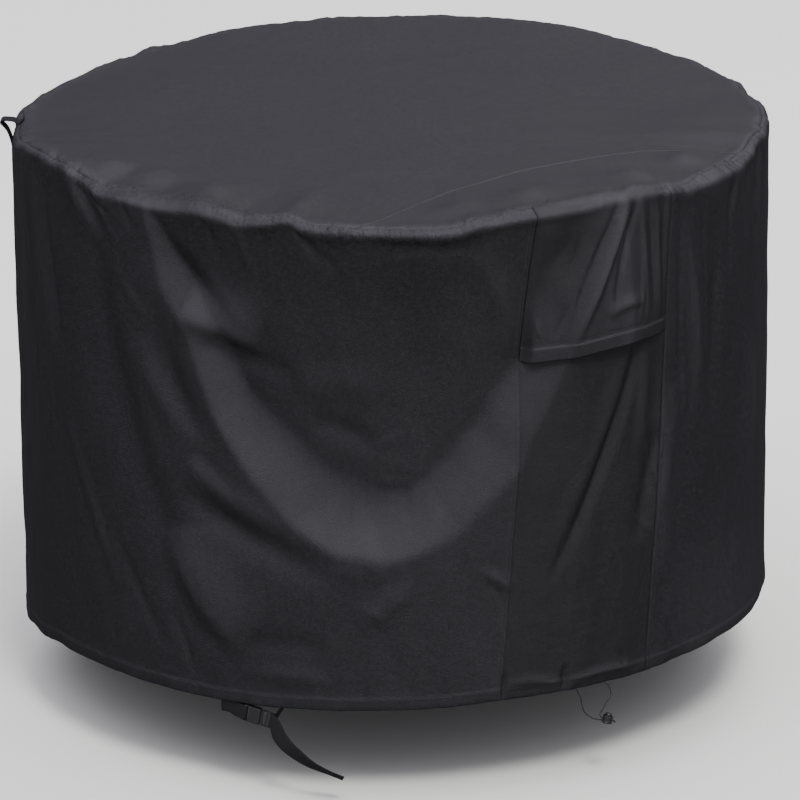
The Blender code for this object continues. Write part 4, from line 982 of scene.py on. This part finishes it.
segment_azimuth = np.concatenate(
    [[chord_start + 0.05, chord_start + 0.3], front_half[1:-1], [chord_end - 0.05]]
)
segment_azimuth = np.sort(segment_azimuth)
segment_edge = seam_run(segment_azimuth)[:, None] - SEAM_EASE
segment_low = chord_radius(segment_azimuth, SEAM_EASE)[:, None]
segment_low = np.minimum(segment_low, segment_edge - 0.0004)
segment_share = np.array([0, 0.006, 0.015, 0.03, 0.06, *np.linspace(0.1, 0.98, 42), 0.99, 1])
segment_run = np.concatenate(
    [
        segment_low + TUCKED_ROWS,
        segment_low + (segment_edge - segment_low) * segment_share,
        segment_edge - TUCKED_ROWS[::-1],
    ],
    axis=1,
)
segment_depth = seam_sink(segment_run - segment_low) + seam_sink(segment_edge - segment_run)
segment_depth = segment_depth + open_groove(segment_run - segment_low)
segment = laid_sheet("segment", segment_azimuth, segment_run, segment_depth)
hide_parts("top_segment")
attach(segment, "cover")

# ---- Stitching
# Black polyester thread, lockstitched in two rows along the seams and the flap's band and in
# one row along the hem. Each stitch is a small lozenge of thread lying on the cloth.

STITCH_PITCH = 0.0042
STITCH_LENGTH = 0.0031
STITCH_WIDTH = 0.0008
RIM_STITCHES = (0.0035, 0.0095)
UPRIGHT_STITCHES = (0.0035, 0.0100)
BAND_STITCHES = (0.0030, 0.0205)
CHORD_STITCHES = (-0.004, -0.010)
HEM_STITCHES = 0.0185
STITCHED_FALL = 0.822


def patterned(name, kind, scale, output, colours, roughness):
    """A finish in two shades by a texture on the piece itself, and what it is made from."""
    material = bpy.data.materials.new(name)
    material.use_nodes = True
    nodes, links = material.node_tree.nodes, material.node_tree.links
    shader = nodes["Principled BSDF"]
    shader.inputs["Roughness"].default_value = roughness
    place = nodes.new("ShaderNodeTexCoord")
    texture = nodes.new(kind)
    texture.inputs["Scale"].default_value = scale
    links.new(place.outputs["Object"], texture.inputs["Vector"])
    tinted(nodes, links, texture.outputs[output], colours)
    return material, texture


def tinted(nodes, links, pattern, colours):
    ramp = nodes.new("ShaderNodeValToRGB")
    for stop, colour in zip(ramp.color_ramp.elements, colours):
        stop.color = (*colour, 1)
    links.new(pattern, ramp.inputs["Fac"])
    links.new(ramp.outputs["Color"], nodes["Principled BSDF"].inputs["Base Color"])


thread, _ = patterned(
    "black_thread",
    "ShaderNodeTexNoise",
    900,
    "Fac",
    ((0.020, 0.020, 0.023), (0.060, 0.060, 0.066)),
    0.5,
)


def stitch_row(name, azimuth, run, depth):
    """Stitches along a line on the cover, at its face less depth."""
    line = cover_points(azimuth, run, depth)
    above = cover_points(azimuth, run, np.asarray(depth) - 0.001)
    step = np.linalg.norm(np.diff(line, axis=0), axis=1)
    along = np.concatenate([[0], np.cumsum(step)])
    count = int(along[-1] / STITCH_PITCH)
    starts = (np.arange(count) + 0.2) * STITCH_PITCH

    def at(distance, rows):
        return np.stack([np.interp(distance, along, rows[:, k]) for k in range(3)], -1)

    first, last = at(starts, line), at(starts + STITCH_LENGTH, line)
    middle = (first + last) / 2
    up = at(starts + STITCH_LENGTH / 2, above) - at(starts + STITCH_LENGTH / 2, line)
    up = up / np.linalg.norm(up, axis=1)[:, None]
    side = np.cross(last - first, up)
    side = side / np.linalg.norm(side, axis=1)[:, None] * STITCH_WIDTH / 2
    top_of_stitch = middle + up * STITCH_WIDTH * 0.45
    foot_of_stitch = middle - up * STITCH_WIDTH * 0.3
    sides = [middle + side, top_of_stitch, middle - side, foot_of_stitch]
    corners = np.stack([first - up * 0.0002, *sides, last - up * 0.0002], 1)
    ends = [(0, k % 4 + 1, k) for k in (1, 2, 3, 4)] + [(5, k, k % 4 + 1) for k in (1, 2, 3, 4)]
    faces = [tuple(6 * i + k for k in cell) for i in range(count) for cell in ends]
    data = bpy.data.meshes.new(name)
    data.from_pydata(corners.reshape(-1, 3).tolist(), [], faces)
    data.shade_smooth()
    data.materials.append(thread)
    made = bpy.data.objects.new(name, data)
    bpy.context.scene.collection.objects.link(made)
    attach(made, "cover")


round_azimuth = np.linspace(-180, 180, 1441)
on_flap = (round_azimuth > VENT_LEFT[0]) & (round_azimuth < VENT_RIGHT[0])
for number, inset in enumerate(RIM_STITCHES):
    row_run = seam_run(round_azimuth) + inset
    row_depth = seam_sink(np.full(round_azimuth.shape, inset)) - np.where(on_flap, 0.0020, 0)
    stitch_row(f"rim_stitches_{number}", round_azimuth, row_run, row_depth)
for side_name, seam, side_sign in (("left", VENT_LEFT, -1), ("right", VENT_RIGHT, 1)):
    upright_run = np.linspace(COVER_RADIUS, run_at_fall(seam[1], STITCHED_FALL), 300)
    for number, inset in enumerate(UPRIGHT_STITCHES):
        row_azimuth = seam_azimuth(seam, upright_run) + side_sign * inset * DEGREES_A_METRE
        row_depth = seam_sink(np.full(upright_run.shape, inset))
        stitch_row(f"{side_name}_stitches_{number}", row_azimuth, upright_run, row_depth)
for name, first, last, count in (
    ("hem_stitches", VENT_RIGHT[1], 360 + VENT_LEFT[1], 1300),
    ("vent_hem_stitches", VENT_LEFT[1], VENT_RIGHT[1], 120),
):
    row_azimuth = np.linspace(first + 0.4, last - 0.4, count)
    row_run = run_at_fall(row_azimuth, round_table(HEM, "fall", row_azimuth)) - HEM_STITCHES
    stitch_row(name, row_azimuth, row_run, np.full(count, -HEM_FULLNESS))
for number, up_from_edge in enumerate(BAND_STITCHES):
    row = np.argmin(np.abs(flap_up[0] - up_from_edge))
    band_line = (grid[2:-2, row] for grid in (flap_azimuth, flap_run, flap_depth))
    stitch_row(f"band_stitches_{number}", *band_line)
row_azimuth = np.linspace(chord_start + 0.6, chord_end - 0.6, 400)
for number, inset in enumerate(CHORD_STITCHES):
    row_run = chord_radius(row_azimuth, inset)
    stitch_row(f"top_stitches_{number}", row_azimuth, row_run, np.full(400, -0.0003))

# ---- Pull loop
# A short loop of 25 mm black webbing, sewn flat to the rim on the left with its bight standing
# out, for lifting the cover off.

LOOP_AZIMUTH = -93.0
LOOP_SEAT = -0.0022
WEBBING_WIDTH = 0.025
WEBBING = 0.0015
SELVEDGE_THINNING = 0.0003
LoopPoint = namedtuple("LoopPoint", "reach height")
LOOP_BIGHT = [
    LoopPoint(-0.0015, -0.0098),
    LoopPoint(0.0040, -0.0088),
    LoopPoint(0.0105, -0.0082),
    LoopPoint(0.0165, -0.0082),
    LoopPoint(0.0192, -0.0090),
    LoopPoint(0.0200, -0.0106),
    LoopPoint(0.0192, -0.0124),
    LoopPoint(0.0165, -0.0150),
    LoopPoint(0.0120, -0.0200),
    LoopPoint(0.0083, -0.0260),
    LoopPoint(0.0055, -0.0330),
    LoopPoint(0.0036, -0.0395),
]


def side_frame(azimuth):
    """The ways along the side to the right, outwards and up at an azimuth."""
    turn = math.radians(azimuth)
    along = Vector((math.cos(turn), math.sin(turn), 0))
    outwards = Vector((math.sin(turn), -math.cos(turn), 0))
    return along, outwards, Vector((0, 0, 1))


def side_point(azimuth, radius, fall):
    return side_frame(azimuth)[1] * radius + Vector((0, 0, CLOTH - fall))


def smooth_route(points, steps):
    """A smooth curve through the points, with steps places from each to the next."""
    points = [points[0] * 2 - points[1], *points, points[-1] * 2 - points[-2]]
    route = []
    for before, a, b, after in zip(points, points[1:], points[2:], points[3:]):
        for k in range(steps):
            t = k / steps
            bend = 2 * before - 5 * a + 4 * b - after
            twist = 3 * a - before - 3 * b + after
            route.append(0.5 * (2 * a + (b - before) * t + bend * t * t + twist * t**3))
    return [*route, points[-2]]


webbing_finish = bpy.data.materials.new("black_webbing")
webbing_finish.use_nodes = True
webbing_nodes, webbing_links = webbing_finish.node_tree.nodes, webbing_finish.node_tree.links
webbing_shader = webbing_nodes["Principled BSDF"]
webbing_shader.inputs["Specular IOR Level"].default_value = 0.22
webbing_shader.inputs["Roughness"].default_value = 0.8
webbing_map = webbing_nodes.new("ShaderNodeUVMap")
webbing_map.uv_map = "threads"
ribs = webbing_nodes.new("ShaderNodeTexWave")
ribs.bands_direction = "Y"
ribs.inputs["Scale"].default_value = 190
picks = webbing_nodes.new("ShaderNodeTexWave")
picks.bands_direction = "X"
picks.inputs["Scale"].default_value = 330
picks.inputs["Distortion"].default_value = 1.0
for texture in (ribs, picks):
    webbing_links.new(webbing_map.outputs["UV"], texture.inputs["Vector"])
crossing = webbing_nodes.new("ShaderNodeMath")
crossing.operation = "MULTIPLY"
webbing_links.new(ribs.outputs["Fac"], crossing.inputs[0])
webbing_links.new(picks.outputs["Fac"], crossing.inputs[1])
webbing_colours = (0.006, 0.006, 0.007), (0.024, 0.024, 0.027)
tinted(webbing_nodes, webbing_links, crossing.outputs[0], webbing_colours)


def embossed(material, pattern, strength, distance, invert=False):
    """The pattern as a fine relief too."""
    nodes, links = material.node_tree.nodes, material.node_tree.links
    bump = nodes.new("ShaderNodeBump")
    bump.inputs["Strength"].default_value = strength
    bump.inputs["Distance"].default_value = distance
    bump.invert = invert
    links.new(pattern, bump.inputs["Height"])
    links.new(bump.outputs["Normal"], nodes["Principled BSDF"].inputs["Normal"])


embossed(webbing_finish, crossing.outputs[0], 0.7, 0.0006)


def webbing_strip(name, centres, acrosses):
    """A flat strap along a route, its selvedges a little thinner than its middle."""
    columns = 9
    grid = np.zeros((len(centres), columns, 3))
    flat = np.zeros((len(centres), columns, 2))
    travelled = 0.0
    for i, (centre, across) in enumerate(zip(centres, acrosses)):
        ahead = centres[min(i + 1, len(centres) - 1)] - centres[max(i - 1, 0)]
        face = ahead.cross(across).normalized()
        if i:
            travelled += (centre - centres[i - 1]).length
        for j in range(columns):
            share = j / (columns - 1) - 0.5
            crown = WEBBING / 2 - SELVEDGE_THINNING * abs(2 * share) ** 6
            grid[i, j] = centre + across.normalized() * WEBBING_WIDTH * share + face * crown
            flat[i, j] = (travelled, WEBBING_WIDTH * share)
    return cloth_sheet(name, grid, flat, webbing_finish, WEBBING)


loop_along, loop_out, loop_up = side_frame(LOOP_AZIMUTH)
loop_over = np.linspace(COVER_RADIUS - 0.018, COVER_RADIUS - 0.006, 4)
loop_under = run_at_fall(LOOP_AZIMUTH, np.linspace(0.048, 0.064, 4))
loop_runs = np.concatenate([loop_over, loop_under])
loop_sewn = cover_points(np.full(8, LOOP_AZIMUTH), loop_runs, np.full(8, LOOP_SEAT))
loop_flat = [Vector(place) for place in loop_sewn]
loop_bend = [
    loop_out * (COVER_RADIUS + point.reach) + loop_up * point.height for point in LOOP_BIGHT
]
loop_route = smooth_route([*loop_flat[:4], *loop_bend, *loop_flat[4:]], 2)
loop = webbing_strip("pull_loop_webbing", loop_route, [loop_along] * len(loop_route))
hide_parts("pull_loop")
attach(loop, "cover")

# ---- Hem strap and buckle
# 25 mm webbing again. A short doubled piece behind the hem holds the buckle's socket; the long
# one comes from behind the hem, turns round the tongue's bar and ends in a free tail, which
# twists as it hangs. The buckle's halves are the solids themselves.

STRAP_RADIUS = 0.640
BUCKLE_LENGTH = 0.052
BUCKLE_AZIMUTH = -21.0
BUCKLE_FALL = 0.856
BUCKLE_TILT = 12.0
BUCKLE_BAR = 0.0026
BIGHT_RADIUS = 0.00295
BIGHT_STRAIGHT = 0.003
Station = namedtuple("Station", "azimuth fall stand_off lean twist")
ANCHOR_FRONT = [
    Station(-26.9, 0.8425, 0.0003, 0, 0),
    Station(-25.6, 0.8432, 0.0003, 1, 0),
    Station(-24.6, 0.8482, 0.0003, 7, 0),
]
ANCHOR_BACK = [
    Station(-24.6, 0.8482, -0.0020, 7, 0),
    Station(-25.6, 0.8432, -0.0017, 1, 0),
    Station(-26.9, 0.8425, -0.0017, 0, 0),
]
TAIL_BACK = [
    Station(-13.4, 0.8130, 0.0003, 0, 0),
    Station(-15.2, 0.8135, 0.0003, 4, 0),
    Station(-16.6, 0.8240, -0.0014, 16, 0),
    Station(-17.5, 0.8410, -0.0026, 22, 0),
]
TAIL_FRONT = [
    Station(-18.05, 0.8700, 0.0052, 40, 0),
    Station(-17.40, 0.8850, 0.0075, 48, 0),
    Station(-16.20, 0.8990, 0.0100, 46, 6),
    Station(-14.60, 0.9120, 0.0120, 40, 18),
    Station(-12.60, 0.9260, 0.0130, 34, 36),
    Station(-10.30, 0.9370, 0.0130, 27, 50),
    Station(-7.90, 0.9480, 0.0120, 23, 52),
]


def buckle_place():
    """The buckle's place: X along the strap, Z outwards."""
    along, outwards, up = side_frame(BUCKLE_AZIMUTH)
    tilt = math.radians(BUCKLE_TILT)
    ahead = along * math.cos(tilt) - up * math.sin(tilt)
    across = along * math.sin(tilt) + up * math.cos(tilt)
    place = Matrix((ahead, across, outwards)).transposed().to_4x4()
    place.translation = side_point(BUCKLE_AZIMUTH, STRAP_RADIUS, BUCKLE_FALL)
    return place


def strap_stations(stations):
    """The strap's middle and the way across it at each station."""
    route = []
    for station in stations:
        along, outwards, up = side_frame(station.azimuth)
        lean, twist = math.radians(station.lean), math.radians(station.twist)
        upright = up * math.cos(lean) + along * math.sin(lean)
        centre = side_point(station.azimuth, STRAP_RADIUS + station.stand_off, station.fall)
        route.append((centre, upright * math.cos(twist) + outwards * math.sin(twist)))
    return route


def bight(side):
    """The strap's turn round the bar at one end of the buckle."""
    place = buckle_place()
    across = place.to_3x3() @ Vector((0, 1, 0))
    bar = side * (BUCKLE_LENGTH - BUCKLE_BAR) / 2
    angles = [math.radians(90 - 30 * k) for k in range(7)]
    turn = [(-side * math.cos(angle), math.sin(angle)) for angle in angles]
    flat = [(bar + x * BIGHT_RADIUS, z * BIGHT_RADIUS) for x, z in turn]
    start, end = flat[0], flat[-1]
    past = side * BIGHT_STRAIGHT
    flat = [(start[0] + past, start[1]), *flat, (end[0] + past, end[1])]
    return [(place @ Vector((x, 0, z)), across) for x, z in flat]


anchor_route = [*strap_stations(ANCHOR_FRONT), *bight(-1), *strap_stations(ANCHOR_BACK)]
tail_route = [*strap_stations(TAIL_BACK), *reversed(bight(1)), *strap_stations(TAIL_FRONT)]
for name, node, route, steps, length in (
    ("anchor_webbing", "strap_anchor", anchor_route, 2, 0.090),
    ("tail_webbing", "strap_tail", tail_route, 4, 0.235),
):
    centres = smooth_route([centre for centre, _ in route], steps)
    acrosses = smooth_route([across for _, across in route], steps)
    webbing = webbing_strip(name, centres, acrosses)
    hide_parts(node)
    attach(webbing, "cover")

# ---- Drawstring
# Black braided cord, 2.4 mm. Its two ends leave the hem's channel under the vent and run into
# the cord lock; a short end shows beyond it.

CORD_RADIUS = 0.6432
CORD_DIAMETER = 0.0024
CORD_END_DIAMETER = CORD_DIAMETER * 1.3
LOCK_RADIUS = 0.009
LOCK_FLAT = 0.0004
LOCK_GAP = 0.0004
LOCK_AZIMUTH = 32.9
LOCK_FALL = 0.8935
LOCK_TILT = 19.0
CORD_ENTRY_SPACING = 0.0036
CordPoint = namedtuple("CordPoint", "azimuth fall stand_off")
CORD_LEFT = [
    CordPoint(27.42, 0.8251, 0.0000),
    CordPoint(27.86, 0.8345, 0.0004),
    CordPoint(28.20, 0.8440, 0.0010),
    CordPoint(28.36, 0.8550, 0.0016),
    CordPoint(28.62, 0.8660, 0.0020),
    CordPoint(29.08, 0.8735, 0.0020),
    CordPoint(29.78, 0.8800, 0.0016),
    CordPoint(30.50, 0.8855, 0.0010),
    CordPoint(31.25, 0.8888, 0.0004),
]
CORD_RIGHT = [
    CordPoint(32.55, 0.8258, 0.0000),
    CordPoint(33.10, 0.8330, 0.0006),
    CordPoint(33.46, 0.8440, 0.0014),
    CordPoint(33.28, 0.8545, 0.0018),
    CordPoint(32.76, 0.8610, 0.0014),
    CordPoint(32.32, 0.8690, 0.0008),
    CordPoint(31.78, 0.8780, 0.0000),
    CordPoint(31.62, 0.8836, -0.0004),
]

cord_finish, braid = patterned(
    "black_braid",
    "ShaderNodeTexVoronoi",
    1100,
    "Distance",
    ((0.030, 0.030, 0.033), (0.007, 0.007, 0.008)),
    0.6,
)
embossed(cord_finish, braid.outputs["Distance"], 0.8, 0.0003, invert=True)


def lock_place():
    """The cord lock's place: X along the cord that leaves it, Z up its button."""
    along, outwards, up = side_frame(LOCK_AZIMUTH)
    tilt = math.radians(LOCK_TILT)
    button = along * math.sin(tilt) + up * math.cos(tilt)
    leaving = along * math.cos(tilt) - up * math.sin(tilt)
    place = Matrix((leaving, button.cross(leaving), button)).transposed().to_4x4()
    place.translation = side_point(LOCK_AZIMUTH, CORD_RADIUS, LOCK_FALL)
    return place


def cord_piece(name, route, diameter):
    data = bpy.data.curves.new(name, "CURVE")
    data.dimensions = "3D"
    data.bevel_depth = diameter / 2
    data.bevel_resolution = 3
    data.use_fill_caps = True
    spline = data.splines.new("POLY")
    spline.points.add(len(route) - 1)
    for point, place in zip(spline.points, route):
        point.co = (*place, 1)
    data.materials.append(cord_finish)
    made = bpy.data.objects.new(name, data)
    bpy.context.scene.collection.objects.link(made)
    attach(made, "cover")
    return made


lock = lock_place()
lock_mouth = -(LOCK_RADIUS - LOCK_FLAT) - LOCK_GAP
end_droop = (0, 0), (0.003, 0), (0.006, -0.001), (0.0085, -0.003)
end_route = [lock @ Vector((-lock_mouth + out, 0, up)) for out, up in end_droop]
lock_end = cord_piece("cord_end", end_route, CORD_END_DIAMETER)
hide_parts("drawstring_end")
for name, node, rows, side in (
    ("cord_left", "drawstring_left", CORD_LEFT, -0.5),
    ("cord_right", "drawstring_right", CORD_RIGHT, 0.5),
):
    points = [side_point(row.azimuth, CORD_RADIUS + row.stand_off, row.fall) for row in rows]
    height = side * CORD_ENTRY_SPACING
    points += [lock @ Vector((lock_mouth - out, 0, height)) for out in (0.003, 0)]
    route = smooth_route(points, 3)
    cord = cord_piece(name, route, CORD_DIAMETER)
    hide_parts(node)

# ---- Buckle and cord lock
# Moulded black acetal: the side-release buckle on the strap, and the round push-button lock on
# the drawstring. Their shapes are the solids'; the finish is a dull moulded grain, whose gloss
# varies a little.

plastic, mould_grain = patterned(
    "moulded_plastic",
    "ShaderNodeTexNoise",
    1500,
    "Fac",
    ((0.008, 0.008, 0.009), (0.016, 0.016, 0.017)),
    0.4,
)
mould_grain.inputs["Detail"].default_value = 3
plastic_nodes, plastic_links = plastic.node_tree.nodes, plastic.node_tree.links
plastic_rough = plastic_nodes.new("ShaderNodeMapRange")
plastic_rough.inputs["To Min"].default_value = 0.32
plastic_rough.inputs["To Max"].default_value = 0.48
plastic_shader = plastic_nodes["Principled BSDF"]
plastic_links.new(mould_grain.outputs["Fac"], plastic_rough.inputs["Value"])
plastic_links.new(plastic_rough.outputs["Result"], plastic_shader.inputs["Roughness"])
embossed(plastic, mould_grain.outputs["Fac"], 0.25, 0.0002)
for node in ("buckle_socket", "buckle_tongue", "lock_barrel", "lock_button"):
    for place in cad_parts[node].material_slots:
        place.material = plastic
